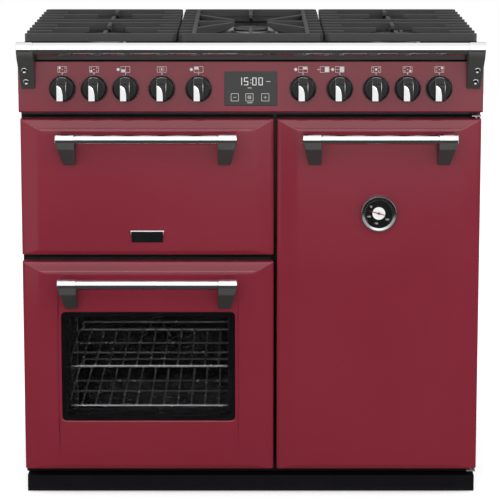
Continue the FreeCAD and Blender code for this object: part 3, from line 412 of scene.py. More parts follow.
def zinc_sheet():
    return finish("Zinc sheet", (0.235, 0.24, 0.245), (0.31, 0.315, 0.32), "Spangle", 95, (0.36, 0.46),
                  Metallic=1.0)


def zinc():
    return finish("Zinc plate", (0.42, 0.43, 0.44), (0.56, 0.57, 0.58), "Brushed Grain", 220, (0.3, 0.45),
                  bump=0.00002, Metallic=1.0)


def brass():
    return finish("Turned brass", (0.62, 0.44, 0.18), (0.72, 0.53, 0.24), "Brushed Grain", 260, (0.22, 0.36),
                  Metallic=1.0)


def element_steel():
    return finish("Heated steel", (0.1, 0.09, 0.085), (0.2, 0.17, 0.15), "Cast Grain", 1500, (0.4, 0.55),
                  bump=0.00003, Metallic=1.0)


def rubber():
    return finish("Rubber", (0.02, 0.02, 0.02), (0.035, 0.035, 0.035), "Cast Grain", 1800, (0.6, 0.75),
                  bump=0.00005)


def foot_plastic():
    return finish("Foot moulding", (0.02, 0.02, 0.02), (0.03, 0.03, 0.03), "Cast Grain", 1600, (0.45, 0.6),
                  bump=0.00005)


def switch_plastic():
    return finish("Pale moulding", (0.62, 0.61, 0.57), (0.7, 0.69, 0.65), "Cast Grain", 1600, (0.4, 0.5),
                  bump=0.00003)


def dial_white():
    return finish("Dial white", (0.86, 0.855, 0.85), (0.9, 0.895, 0.89), scale=60, roughness=(0.3, 0.4))


def ceramic():
    return finish("Glazed ceramic", (0.75, 0.74, 0.7), (0.82, 0.81, 0.78), scale=40, roughness=(0.2, 0.3))


def display_glass():
    return tinted("Clock glass", "display", 1, 1.1, scale=10, roughness=(0.1, 0.14), Coat_Weight=0.2)


def printed():
    return tinted("Light print", "print", 0.95, 1, scale=200, roughness=(0.4, 0.5))


def lit_digits():
    return tinted("Lit digits", "print", 0.95, 1, scale=200, roughness=(0.4, 0.5),
                  Emission_Color=(0.8, 0.82, 0.8, 1), Emission_Strength=0.25)


def needle_red():
    return tinted("Needle paint", "needle", 0.9, 1, scale=80, roughness=(0.3, 0.4))


def window_glass():
    return finish("Tinted glass", (0.004, 0.004, 0.005), (0.006, 0.006, 0.007), scale=6,
                  roughness=(0.02, 0.04), Alpha=0.08, IOR=1.5)


def glass_border():
    return finish("Printed border", (0.003, 0.003, 0.0035), (0.005, 0.005, 0.005), scale=8,
                  roughness=(0.03, 0.06), Coat_Weight=0.4)


# Objects

def mesh_data(name, mesh):
    """Mesh data from a mesh in hand, which is then let go."""
    data = bpy.data.meshes.new(name)
    mesh.to_mesh(data)
    mesh.free()
    return data


def placed(name, data):
    """New object in the scene."""
    made = bpy.data.objects.new(name, data)
    bpy.context.scene.collection.objects.link(made)
    return made


def shade_smooth(data, angle=35):
    """Smooth shading, with edges sharper than an angle in degrees left sharp."""
    data.shade_smooth()
    data.set_sharp_from_angle(angle=math.radians(angle))


def evaluated(*items):
    """Mesh of the first object after its modifiers, once all the objects given are removed."""
    graph = bpy.context.evaluated_depsgraph_get()
    mesh = bmesh.new()
    mesh.from_mesh(bpy.data.meshes.new_from_object(items[0].evaluated_get(graph)))
    for item in items:
        bpy.data.objects.remove(item)
    return mesh


# Shapes

def eased(points, radius, steps=4):
    """Open outline of (a, b) points whose inner corners are rounded."""
    outline = [points[0]]
    for before, corner, after in zip(points, points[1:], points[2:]):
        a, c, b = (Vector(point) for point in (before, corner, after))
        room = min(radius, (a - c).length * 0.45, (b - c).length * 0.45)
        first, last = c + (a - c).normalized() * room, c + (b - c).normalized() * room
        for step in range(steps + 1):
            t = step / steps
            outline.append(tuple(first * (1 - t) ** 2 + c * 2 * t * (1 - t) + last * t ** 2))
    outline.append(points[-1])
    return outline


def rounded_ring(x_range, z_range, y, radius, steps=4):
    """Loop of points round a rectangle with rounded corners, at one depth."""
    x0, x1 = x_range
    z0, z1 = z_range
    ring = []
    for x, z, start in ((x1 - radius, z1 - radius, 0), (x0 + radius, z1 - radius, 1),
                        (x0 + radius, z0 + radius, 2), (x1 - radius, z0 + radius, 3)):
        for step in range(steps + 1):
            turn = math.pi / 2 * (start + step / steps)
            ring.append(Vector((x + radius * math.cos(turn), y, z + radius * math.sin(turn))))
    return ring


def inset_ring(low, high, inward, y, radius):
    """Rounded loop inside a box's outline, a distance in from its sides."""
    return rounded_ring((low.x + inward, high.x - inward), (low.z + inward, high.z - inward), y, radius)


def round_ring(centre, axis, radius, steps=ROUND_STEPS):
    """Loop of points round an axis."""
    turn = axis.to_track_quat("Z", "X").to_matrix()
    ring = []
    for step in range(steps):
        angle = 2 * math.pi * step / steps
        ring.append(centre + turn @ Vector((radius * math.cos(angle), radius * math.sin(angle), 0)))
    return ring


def loft(mesh, rings, start_cap=True, end_cap=True, closed=False):
    """Skin over loops of points, with its two ends filled if asked."""
    loops = [[mesh.verts.new(point) for point in ring] for ring in rings]
    if closed:
        loops.append(loops[0])
    for near, far in zip(loops, loops[1:]):
        for index in range(len(near)):
            beyond = (index + 1) % len(near)
            mesh.faces.new((near[index], near[beyond], far[beyond], far[index]))
    if start_cap and not closed:
        mesh.faces.new(loops[0][::-1])
    if end_cap and not closed:
        mesh.faces.new(loops[-1])


def lathe(mesh, profile, centre, axis, steps=ROUND_STEPS, closed=False):
    """Round form from (radius, along) points about an axis through centre."""
    axis = Vector(axis)
    rings = [round_ring(Vector(centre) + axis * along, axis, max(radius, POLE), steps)
             for radius, along in profile]
    loft(mesh, rings, closed=closed)


def slab(mesh, x_range, y_range, z_range):
    """Box with its faces outwards."""
    x0, x1 = x_range
    z0, z1 = z_range
    loft(mesh, [[Vector((x, y, z)) for x, z in ((x0, z0), (x1, z0), (x1, z1), (x0, z1))] for y in y_range])


def tube(mesh, points, radius, steps=10, closed=False):
    """Round wire along a list of points, with one radius or one for each point."""
    points = [Vector(point) for point in points]
    radii = radius if isinstance(radius, list) else [radius] * len(points)
    rings = []
    for index, point in enumerate(points):
        before = points[index - 1] if index or closed else point
        after = points[(index + 1) % len(points)] if index < len(points) - 1 or closed else point
        rings.append(round_ring(point, (after - before).normalized(), radii[index], steps))
    loft(mesh, rings, closed=closed)


def piece(name, mesh, material, body, stands_for=(), bevel=0.0, segments=2, outward=True,
          angle=35):
    """Turns a mesh into a piece of the object that rides on a body."""
    if outward:
        bmesh.ops.recalc_face_normals(mesh, faces=mesh.faces)
    made = placed(name, mesh_data(name, mesh))
    shade_smooth(made.data, angle)
    made.data.materials.append(material)
    if bevel:
        edge = made.modifiers.new("Soft edges", "BEVEL")
        edge.width = bevel
        edge.segments = segments
        edge.limit_method = "ANGLE"
        edge.angle_limit = math.radians(28)
        made.modifiers.new("Even shading", "WEIGHTED_NORMAL").keep_sharp = True
    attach(made, body)
    if stands_for:
        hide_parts(*stands_for)
    return made


def pressed_sheet(mesh, wall, notches=None):
    """Open shell given its wall thickness, with room cut where the notches are."""
    shapes = [placed("pressing", mesh_data("pressing", form)) for form in filter(None, (mesh, notches))]
    thicken = shapes[0].modifiers.new("Sheet", "SOLIDIFY")
    thicken.thickness = wall
    thicken.offset = -1
    if notches:
        cut = shapes[0].modifiers.new("Notches", "BOOLEAN")
        cut.operation = "DIFFERENCE"
        cut.object = shapes[1]
    return evaluated(*shapes)


def body_holding(node):
    """Name of the body that a CAD node belongs to."""
    bodies = frame["record"]["behaviour"]["bodies"]
    return next(name for name, nodes in bodies.items() if node in nodes)


def merged_copy(node):
    """Mesh of a CAD node with its doubles merged and its flat faces joined."""
    mesh = bmesh.new()
    mesh.from_mesh(frame["nodes"][node].data)
    bmesh.ops.remove_doubles(mesh, verts=mesh.verts, dist=WELD)
    bmesh.ops.dissolve_limit(mesh, angle_limit=math.radians(1), verts=mesh.verts, edges=mesh.edges)
    return mesh


def softened(node, material, segments=2, mesh=None):
    """Copy of a CAD node, or a mesh made from one, with soft edges that stands for it."""
    piece(node + "_form", mesh or merged_copy(node), material, body_holding(node), (node,),
          bevel=SOFT_EDGES[node] * MM, segments=segments)


def painted(node, material):
    """Gives a CAD node its finish."""
    target = frame["nodes"][node]
    for slot in target.material_slots:
        slot.link = "DATA"
        slot.material = material


def size_of(node):
    """Lowest and highest corner of a CAD node as vectors."""
    low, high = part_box(node)
    return Vector(low), Vector(high)


# Repeats

def repeat_tree(name, ring):
    """Geometry tree that sets copies of a small form in a row, or round an axis along Z."""
    tree = bpy.data.node_groups.new(name, "GeometryNodeTree")
    last = {"Radius": "Float"} if ring else {"Step": "Vector"}
    add_sockets(tree, "INPUT", Form="Object", Finish="Material", Count="Int", Start="Vector", **last)
    add_sockets(tree, "OUTPUT", Geometry="Geometry")
    start = tree.nodes.new("NodeGroupInput").outputs
    form = new_node(tree, "GeometryNodeObjectInfo", Object=start["Form"])
    if ring:
        points = new_node(tree, "GeometryNodeMeshCircle", Vertices=start["Count"], Radius=start["Radius"])
        spot = tree.nodes.new("GeometryNodeInputPosition").outputs["Position"]
        aim = new_node(tree, "FunctionNodeAlignRotationToVector", axis="X", pivot_axis="Z", Vector=spot)
        turn = {"Rotation": aim.outputs["Rotation"]}
    else:
        points = new_node(tree, "GeometryNodeMeshLine", Count=start["Count"], Offset=start["Step"])
        turn = {}
    copies = new_node(tree, "GeometryNodeInstanceOnPoints", Points=points.outputs["Mesh"],
                      Instance=form.outputs["Geometry"], **turn)
    move = new_node(tree, "GeometryNodeTransform", Geometry=copies.outputs["Instances"],
                    Translation=start["Start"])
    real = new_node(tree, "GeometryNodeRealizeInstances", Geometry=move.outputs["Geometry"])
    paint = new_node(tree, "GeometryNodeSetMaterial", Geometry=real.outputs["Geometry"],
                     Material=start["Finish"])
    new_node(tree, "NodeGroupOutput", Geometry=paint.outputs["Geometry"])
    return tree


def repeated(form, material, ring=False, **values):
    """Plain mesh of the copies that a repeat tree makes of a small form."""
    name = "Ring of copies" if ring else "Row of copies"
    tree = bpy.data.node_groups.get(name) or repeat_tree(name, ring)
    bmesh.ops.recalc_face_normals(form, faces=form.faces)
    small = placed("small_form", mesh_data("small_form", form))
    shade_smooth(small.data)
    holder = placed("holder", bpy.data.meshes.new("holder"))
    modifier = holder.modifiers.new("Copies", "NODES")
    modifier.node_group = tree
    values.update({"Form": small, "Finish": material})
    for socket in tree.interface.items_tree:
        if socket.in_out == "INPUT":
            modifier[socket.identifier] = values[socket.name]
    return evaluated(holder, small)


def joined(meshes):
    """One mesh out of several."""
    whole = bmesh.new()
    for mesh in meshes:
        data = mesh_data("part", mesh)
        whole.from_mesh(data)
        bpy.data.meshes.remove(data)
    return whole


def screw_head(radius, height):
    """Pan head with a round recess, pointing along +Z."""
    mesh = bmesh.new()
    profile = eased([(radius * 0.36, height), (radius * 0.8, height), (radius, height * 0.35), (radius, 0)],
                    height * 0.5, 3)
    recess = (radius * 0.3, height * 0.45)
    loft(mesh, [round_ring(Vector((0, 0, along)), Vector(UP), size, 16)
                for size, along in [recess] + profile])
    return mesh


# Operators

class CookerOperator(bpy.types.Operator):
    """Shared base of the cooker's operators."""

    bl_options = {"REGISTER", "UNDO"}


class COOKER_OT_casing(CookerOperator):
    """Casing sheets, plinth, feet, hinges and the rear"""

    bl_idname = "cooker.casing"
    bl_label = "Casing"

    def execute(self, context):
        softened("casing_sheets", satin_black())
        self.rear_sheet()
        softened("front_frame", frame_black())
        softened("plinth", plinth_black())
        softened("door_hinges", zinc())
        softened("gas_rail", brass())
        softened("oven_switches", switch_plastic())
        self.feet()
        self.rear_screws()
        return {"FINISHED"}

    def feet(self):
        low, high = size_of("levelling_feet")
        radius, thickness, stem, ease = 20 * MM, 8 * MM, 6 * MM, 1 * MM
        profile = eased([(0, 0), (radius * 0.9, 0), (radius, thickness * 0.3), (radius, thickness * 0.7),
                         (radius * 0.6, thickness), (stem, thickness), (stem, high.z), (0, high.z)], ease, 3)
        mesh = bmesh.new()
        for x in (low.x + radius, high.x - radius):
            for y in (low.y + radius, high.y - radius):
                lathe(mesh, profile, (x, y, 0), UP, 32)
        piece("screw_feet", mesh, foot_plastic(), "root", ("levelling_feet",))

    def rear_sheet(self):
        """Rear panel as a thinner sheet, so that its screw heads stand proud of it."""
        relief, mesh = 0.8 * MM, merged_copy("rear_panel")
        outside = size_of("rear_panel")[1].y - ON_FACE
        for vert in mesh.verts:
            if vert.co.y > outside:
                vert.co.y -= relief
        softened("rear_panel", zinc_sheet(), mesh=mesh)

    def rear_screws(self):
        low, high = size_of("rear_panel")
        margin, count, radius, height = 9 * MM, 9, 3.4 * MM, 1.6 * MM
        x0, x1, z0, z1 = low.x + margin, high.x - margin, low.z + margin, high.z - margin
        y, across, rise = high.y - height, (x1 - x0) / (count - 1), (z1 - z0) / (count - 1)
        rows = [(count, (x, y, z0), (0, 0, rise)) for x in (x0, x1)]
        rows += [(count - 2, (x0 + across, y, z), (across, 0, 0)) for z in (z0, z1)]
        meshes = []
        for heads, start, step in rows:
            head = screw_head(radius, height)
            head.transform(Matrix.Rotation(math.radians(-90), 4, "X"))
            meshes.append(repeated(head, zinc(), Count=heads, Start=start, Step=step))
        piece("rear_screws", joined(meshes), zinc(), "root", outward=False)


class COOKER_OT_doors(CookerOperator):
    """Pressed door panels, their linings and the bare badge plate"""

    bl_idname = "cooker.doors"
    bl_label = "Doors"

    def execute(self, context):
        sizes = context.scene.cooker_doors
        for body, node in (*DROP_DOORS.items(), ("tall_door", "tall_door_panel")):
            self.panel(sizes, body, node)
            softened(node.replace("panel", "liner"), oven_enamel())
        self.badge(sizes)
        return {"FINISHED"}

    def panel(self, sizes, body, node):
        low, high = size_of(node)
        slope, rings = sizes.bevel_top, []
        section = [(0, high.y), (0, low.y + sizes.bevel_rise), (slope, low.y), (slope * 1.9, low.y)]
        for inward, y in eased(section, sizes.press):
            share = inward / slope
            side, foot, top = share * sizes.bevel_side, share * sizes.bevel_foot, share * sizes.bevel_top
            rings.append(rounded_ring((low.x + side, high.x - side), (low.z + foot, high.z - top), y,
                                      sizes.corner))
        window = self.window_edge(low.y) if node == "main_door_panel" else []
        mesh = bmesh.new()
        loft(mesh, rings + window, start_cap=False, end_cap=not window)
        bmesh.ops.recalc_face_normals(mesh, faces=mesh.faces)
        front = min(mesh.faces, key=lambda face: face.calc_center_median().y)
        if front.normal.y > 0:
            bmesh.ops.reverse_faces(mesh, faces=mesh.faces)
        notches = self.notches(sizes, body, low, high) if body in DROP_DOORS else None
        made = piece(node + "_form", pressed_sheet(mesh, sizes.sheet, notches), door_enamel(), body, (node,),
                     outward=False, angle=60)
        made.modifiers.new("Even shading", "WEIGHTED_NORMAL").keep_sharp = True

    def window_edge(self, front):
        """Loops of the pressed edge that turns in round the window."""
        low, high = size_of("main_door_glass")
        lap, gap, depth, bend, corner = 7 * MM, 0.2 * MM, 6 * MM, 2.6 * MM, 8 * MM
        return [inset_ring(low, high, -grow, y, corner + grow)
                for grow, y in eased([(lap, front), (gap, front), (gap, front + depth)], bend)]

    def notches(self, sizes, body, low, high):
        """Blocks in the foot of a drop-down door where its hinge arms swing."""
        joints = frame["record"]["behaviour"]["joints"]
        _, pivot_y, pivot_z = next(joint["pos_m"] for joint in joints if joint["child"] == body)
        gap = 1 * MM
        reach = math.hypot(sizes.arm_height, sizes.arm_height) / 2 + gap / 2
        mesh = bmesh.new()
        for x in (low.x + sizes.arm_inset, high.x - sizes.arm_inset - sizes.arm_width):
            slab(mesh, (x - gap, x + sizes.arm_width + gap), (pivot_y - reach, high.y + gap),
                 (low.z - gap, pivot_z + reach))
        bmesh.ops.recalc_face_normals(mesh, faces=mesh.faces)
        return mesh

    def badge(self, sizes):
        """Bare black plate under a chrome cap with two short legs."""
        low, high = size_of("grill_door_panel")
        aside, rim, leg, corner, plate_rise, cap_rise = (size * MM for size in (0.5, 3.6, 9, 1.4, 1.8, 3))
        x, z = (low.x + high.x) / 2 - aside, low.z + sizes.badge_up
        half_x, half_z = sizes.badge_width / 2, sizes.badge_height / 2
        side, top = half_x - rim * 0.7, half_z - rim * 0.4
        plate = bmesh.new()
        loft(plate, [rounded_ring((x - side, x + side), (z - half_z, z + top), y, corner)
                     for y in (low.y + SUNK, low.y - plate_rise)])
        piece("badge_plate", plate, gloss_black(), "grill_door", bevel=0.5 * MM)
        edge = [(-half_x, half_z - leg), (-half_x, half_z), (half_x, half_z), (half_x, half_z - leg),
                (half_x - rim, half_z - leg), (half_x - rim, half_z - rim), (rim - half_x, half_z - rim),
                (rim - half_x, half_z - leg)]
        cap = bmesh.new()
        loft(cap, [[Vector((x + a, y, z + b)) for a, b in edge] for y in (low.y + SUNK, low.y - cap_rise)])
        piece("badge_cap", cap, chrome(), "grill_door", bevel=1.5 * MM, segments=4)


def bar_with_sleeves(x_range, y, z, bar, sleeve, sleeve_length):
    """Handle bar along X with a wider sleeve on each end."""
    x0, x1 = x_range
    tip, fall, shoulder, ease = 1.4 * MM, 1 * MM, 0.8 * MM, 0.7 * MM
    groove, groove_width, bar_start = 0.5 * MM, 1.2 * MM, 1.6 * MM
    half = [(0, 0), (sleeve - tip, 0), (sleeve, tip), (sleeve, sleeve_length - fall),
            (sleeve - shoulder, sleeve_length), (bar - groove, sleeve_length),
            (bar - groove, sleeve_length + groove_width), (bar, sleeve_length + bar_start)]
    profile = [(radius, x0 + along) for radius, along in half]
    profile += [(radius, x1 - along) for radius, along in reversed(half)]
    mesh = bmesh.new()
    lathe(mesh, eased(profile, ease, 3), (0, y, z), (1, 0, 0))
    return mesh


def tapered_bracket(mesh, outer, way, width, foot_width, axis_z, levels):
    """Casting under a bar's axis, leaning in to its foot, through (height, front, rear) levels."""
    rings = []
    for height, front, rear in levels:
        lean = (width - foot_width) * (axis_z - height) / (axis_z - levels[0][0])
        x0, x1 = sorted((outer + way * lean, outer + way * width))
        rings.append([Vector((x, y, height)) for x, y in ((x0, front), (x1, front), (x1, rear), (x0, rear))])
    loft(mesh, rings)


class COOKER_OT_handles(CookerOperator):
    """Door handles with their sleeves and brackets"""

    bl_idname = "cooker.handles"
    bl_label = "Handles"

    def execute(self, context):
        sizes = context.scene.cooker_doors
        toe, neck, inside = 7 * MM, 12 * MM, 1 * MM
        for body in ("grill_door", "main_door", "tall_door"):
            node = body + "_handle"
            low, high = size_of(node)
            y, z = low.y + sizes.sleeve, high.z - sizes.sleeve
            bar = bar_with_sleeves((low.x, high.x), y, z, sizes.bar, sizes.sleeve, sizes.sleeve_length)
            piece(body + "_bar", bar, chrome(), body, (node,))
            front = y - sizes.bar
            levels = [(low.z, high.y - toe, high.y), (z - 2 * sizes.bar, front, high.y),
                      (z - neck, front, high.y), (z - inside, front, y + sizes.bar)]
            mesh = bmesh.new()
            for outer, way in ((low.x, 1), (high.x, -1)):
                tapered_bracket(mesh, outer, way, sizes.sleeve_length, sizes.bracket_foot, z, levels)
            piece(body + "_brackets", mesh, bracket_grey(), body, bevel=1.4 * MM,
                  segments=3)
        return {"FINISHED"}


class COOKER_OT_window(CookerOperator):
    """Panes of the main oven door"""

    bl_idname = "cooker.window"
    bl_label = "Window"

    def execute(self, context):
        low, high = size_of("main_door_glass")
        thickness, corner, gap, arris, ease = 4 * MM, 8 * MM, 0.3 * MM, 1 * MM, 0.6 * MM
        back = low.y + thickness
        pane = bmesh.new()
        side = eased([(arris, low.y), (0, low.y), (0, back), (arris, back)], ease, 3)
        loft(pane, [inset_ring(low, high, gap + inward, y, corner - inward) for inward, y in side])
        piece("outer_pane", pane, window_glass(), "main_door", ("main_door_glass",))
        margin, inner_corner = 7 * MM, 4 * MM
        inner = bmesh.new()
        loft(inner, [inset_ring(low, high, margin, y, inner_corner) for y in (high.y - thickness, high.y)])
        piece("inner_pane", inner, window_glass(), "main_door", bevel=0.5 * MM)
        border, near, far = 9 * MM, back + 0.05 * MM, back + 0.6 * MM
        ring = bmesh.new()
        loft(ring, [inset_ring(low, high, gap + inward, y, corner)
                    for inward, y in ((0, near), (0, far), (border, far), (border, near))], closed=True)
        piece("window_border", ring, glass_border(), "main_door")
        return {"FINISHED"}


class COOKER_OT_thermometer(CookerOperator):
    """Door thermometer: rim, surround, dial with its marks, and needle"""

    bl_idname = "cooker.thermometer"
    bl_label = "Thermometer"

    def execute(self, context):
        low, high = size_of("gauge_body")
        x, z = (low.x + high.x) / 2, (low.z + high.z) / 2
        radius, height, face = (high.x - low.x) / 2, high.y - low.y, high.y
        rim, inside, outside, bend = 2.4 * MM, 1.2 * MM, 1.6 * MM, 1.1 * MM
        lip, seat = height - 2.1 * MM, height - 1.3 * MM
        dial, dial_height, centre, film = 28.4 * MM, 3.6 * MM, 12.5 * MM, 0.2 * MM
        bore, level = radius - rim, face - dial_height
        bead = eased([(bore, 0), (bore, height - inside), (radius - rim / 2, height),
                      (radius, height - outside), (radius, 0)], bend)
        cone = [(dial, SUNK), (dial, lip), (bore, seat), (bore, SUNK)]
        plate = [(0, SUNK), (dial, SUNK), (dial, dial_height), (0, dial_height)]
        disc = [(0, 0), (centre, 0), (centre, film), (0, film)]
        for name, profile, depth, material, steps, closed, node, slot in (
                ("gauge_rim", bead, face, smoked_chrome(), 64, True, ("gauge_body",), "bright_chrome"),
                ("gauge_surround", cone, face, smoked_chrome(), 64, True, (), "gauge_black"),
                ("gauge_dial", plate, face, gloss_black(), 64, False, (), "gauge_black"),
                ("gauge_centre", disc, level, dial_white(), 48, False, (), "gauge_black")):
            mesh = bmesh.new()
            lathe(mesh, profile, (x, depth, z), FORWARD, steps, closed)
            piece(name, mesh, material, "tall_door", node)
        self.marks(x, level, z, dial)
        self.needle(x, z)
        return {"FINISHED"}

    def marks(self, x, level, z, dial):
        """Ring of ticks, open at the foot, and plain numbers round the dial."""
        half_tick, half_line, thickness, ticks = 0.8 * MM, 0.13 * MM, 0.15 * MM, 40
        track, circle, text_size, open_share = dial - 1.8 * MM, 20.4 * MM, 4.8 * MM, 0.72
        tick = bmesh.new()
        slab(tick, (-half_tick, half_tick), (-half_line, half_line), (0, thickness))
        ring = repeated(tick, printed(), ring=True, Count=ticks, Start=(0, 0, 0), Radius=track)
        gone = [vert for vert in ring.verts if vert.co.y < -track * open_share]
        bmesh.ops.delete(ring, geom=gone, context="VERTS")
        ring.transform(Matrix.Translation((x, level, z)) @ Matrix.Rotation(math.radians(90), 4, "X"))
        meshes = [ring]
        for text, angle in (("50", 139), ("100", 198), ("150", 256), ("250", 324)):
            turn = math.radians(angle)
            spot = Vector((x + circle * math.cos(turn), level, z + circle * math.sin(turn)))
            meshes.append(words(text, text_size, spot, thickness))
        piece("gauge_marks", joined(meshes), printed(), "tall_door")

    def needle(self, x, z):
        """Pointed blade under a round hub, at rest."""
        back = size_of("gauge_needle")[1].y
        rest, thickness, gap = math.radians(15.6), 1.2 * MM, 0.1 * MM
        hub, hub_height, chamfer, ease = 2.4 * MM, 2.2 * MM, 0.8 * MM, 0.5 * MM
        half = [(-21, -0.2), (-13, -0.6), (-2, -0.95), (12, -0.45)]
        blade = half + [(along, -side) for along, side in reversed(half)]
        mesh = bmesh.new()
        loft(mesh, [[Vector((along * MM, y, side * MM)) for along, side in blade]
                    for y in (back - thickness, back - gap)])
        lathe(mesh, eased([(0, hub_height), (hub - chamfer, hub_height), (hub, hub_height - chamfer),
                           (hub, 0), (0, 0)], ease, 3), (0, back, 0), FORWARD, 32)
        mesh.transform(Matrix.Translation((x, 0, z)) @ Matrix.Rotation(rest, 4, "Y"))
        piece("needle_form", mesh, needle_red(), "needle", ("gauge_needle",), bevel=0.15 * MM)


def words(text, size, spot, lift):
    """Flat figures facing the front, centred on a point."""
    curve = bpy.data.curves.new("figures", "FONT")
    curve.body = text
    curve.size = size
    curve.align_x = "CENTER"
    curve.align_y = "CENTER"
    curve.extrude = lift / 2
    mesh = evaluated(placed("figures", curve))
    place = Matrix.Translation(Vector(spot) - Vector((0, lift / 2, 0)))
    mesh.transform(place @ Matrix.Rotation(math.radians(90), 4, "X"))
    return mesh


def print_depths(sizes, face):
    """Front and rear of the print on a face."""
    sunk = 0.05 * MM
    return face - sizes.print_lift, face + sunk


def frame_line(mesh, x, z, half_x, half_z, y_range, line):
    """Thin printed rectangle about a point."""
    corner = 1.2 * MM
    loft(mesh, [rounded_ring((x - half_x + inward, x + half_x - inward),
                             (z - half_z + inward, z + half_z - inward), y, corner)
                for inward, y in ((0, y_range[0]), (0, y_range[1]), (line, y_range[1]), (line, y_range[0]))],
         closed=True)


def block(mesh, x, z, half_x, half_z, y_range):
    """Printed block about a point."""
    slab(mesh, (x - half_x, x + half_x), y_range, (z - half_z, z + half_z))


def dot(mesh, x, z, radius, y_range):
    """Round printed spot."""
    lathe(mesh, [(0, 0), (radius, 0), (radius, y_range[1] - y_range[0]), (0, y_range[1] - y_range[0])],
          (x, y_range[1], z), FORWARD, 16)


class COOKER_OT_fascia(CookerOperator):
    """Control fascia with its printed symbols"""

    bl_idname = "cooker.fascia"
    bl_label = "Fascia"

    def execute(self, context):
        sizes = context.scene.cooker_controls
        low = size_of("control_fascia")[0]
        self.panel(low)
        mesh = bmesh.new()
        y_range = print_depths(sizes, low.y)
        gap, stem, stem_drop, head, head_drop = 0.8 * MM, 0.5 * MM, 4.6 * MM, 1.3 * MM, 2.2 * MM
        for knob, node in enumerate(KNOBS, 1):
            (x0, _, z0), (x1, _, z1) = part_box(node)
            x, z = (x0 + x1) / 2, (z0 + z1) / 2 + sizes.symbol_up
            self.symbol(mesh, sizes, knob, x, z, y_range)
            foot = z - sizes.symbol_height / 2
            for half, drop in ((stem, stem_drop), (head, head_drop)):
                slab(mesh, (x - half, x + half), y_range, (foot - drop, foot - gap))
        piece("fascia_symbols", mesh, printed(), "root")
        return {"FINISHED"}

    def panel(self, low):
        """Fascia whose face reaches further down over its bevelled lip, kept just inside its own sides."""
        lip_zone, share, squeeze = 12 * MM, 0.6, 0.99998
        mesh = merged_copy("control_fascia")
        for vert in mesh.verts:
            vert.co.x *= squeeze
            if vert.co.y < low.y + ON_FACE and vert.co.z < low.z + lip_zone:
                vert.co.z = low.z + (vert.co.z - low.z) * share
        softened("control_fascia", fascia_enamel(), 3, mesh)

    def symbol(self, mesh, sizes, knob, x, z, y_range):
        """Burner picture for a gas knob, oven picture for an oven knob."""
        half_x, half_z, line = sizes.symbol_width / 2, sizes.symbol_height / 2, sizes.line
        frame_line(mesh, x, z, half_x, half_z, y_range, line)
        if knob in GAS_KNOBS:
            off, on = 1 * MM, 2.3 * MM
            across, up = half_x * 0.58, half_z * 0.48
            lit = {1: (-1, 1), 2: (-1, -1), 8: (0, 0), 9: (1, -1), 10: (1, 1)}[knob]
            for a, b in ((-1, 1), (-1, -1), (0, 0), (1, -1), (1, 1)):
                dot(mesh, x + a * across, z + b * up, on if (a, b) == lit else off, y_range)
        elif knob == 4:
            middle = 1.6 * MM
            frame_line(mesh, x, z, half_x * 0.5, half_z * 0.6, y_range, line)
            dot(mesh, x, z, middle, y_range)
        else:
            self.oven(mesh, knob, x, z, half_x, half_z, line, y_range)

    def oven(self, mesh, knob, x, z, half_x, half_z, line, y_range):
        """Cooker front with the knob's own oven filled in, and a second one for the tall oven's knob."""
        block(mesh, x, z, line / 2, half_z, y_range)
        (a0, a1), (b0, b1) = {3: ((-1, 0), (-1, 0)), 5: ((-1, 0), (0, 1)), 6: ((0, 1), (0, 1)),
                              7: ((0, 1), (-1, 1))}[knob]
        slab(mesh, (x + a0 * half_x, x + a1 * half_x), y_range, (z + b0 * half_z, z + b1 * half_z))
        slab(mesh, (x - half_x, x), y_range, (z - line / 2, z + line / 2))
        aside, bulb = 5 * MM, 3 * MM
        dot(mesh, x - half_x - aside, z, bulb, y_range)
        if knob == 7:
            apart, stub, tip_radius = 20 * MM, 4 * MM, 1.1 * MM
            left = x - half_x - apart
            frame_line(mesh, left, z, half_x, half_z, y_range, line)
            slab(mesh, (left, left + half_x), y_range, (z - half_z, z + half_z))
            for way in (-1, 1):
                block(mesh, left + way * (half_x + stub / 2), z, stub / 2, line / 2, y_range)
                dot(mesh, left + way * (half_x + stub), z, tip_radius, y_range)


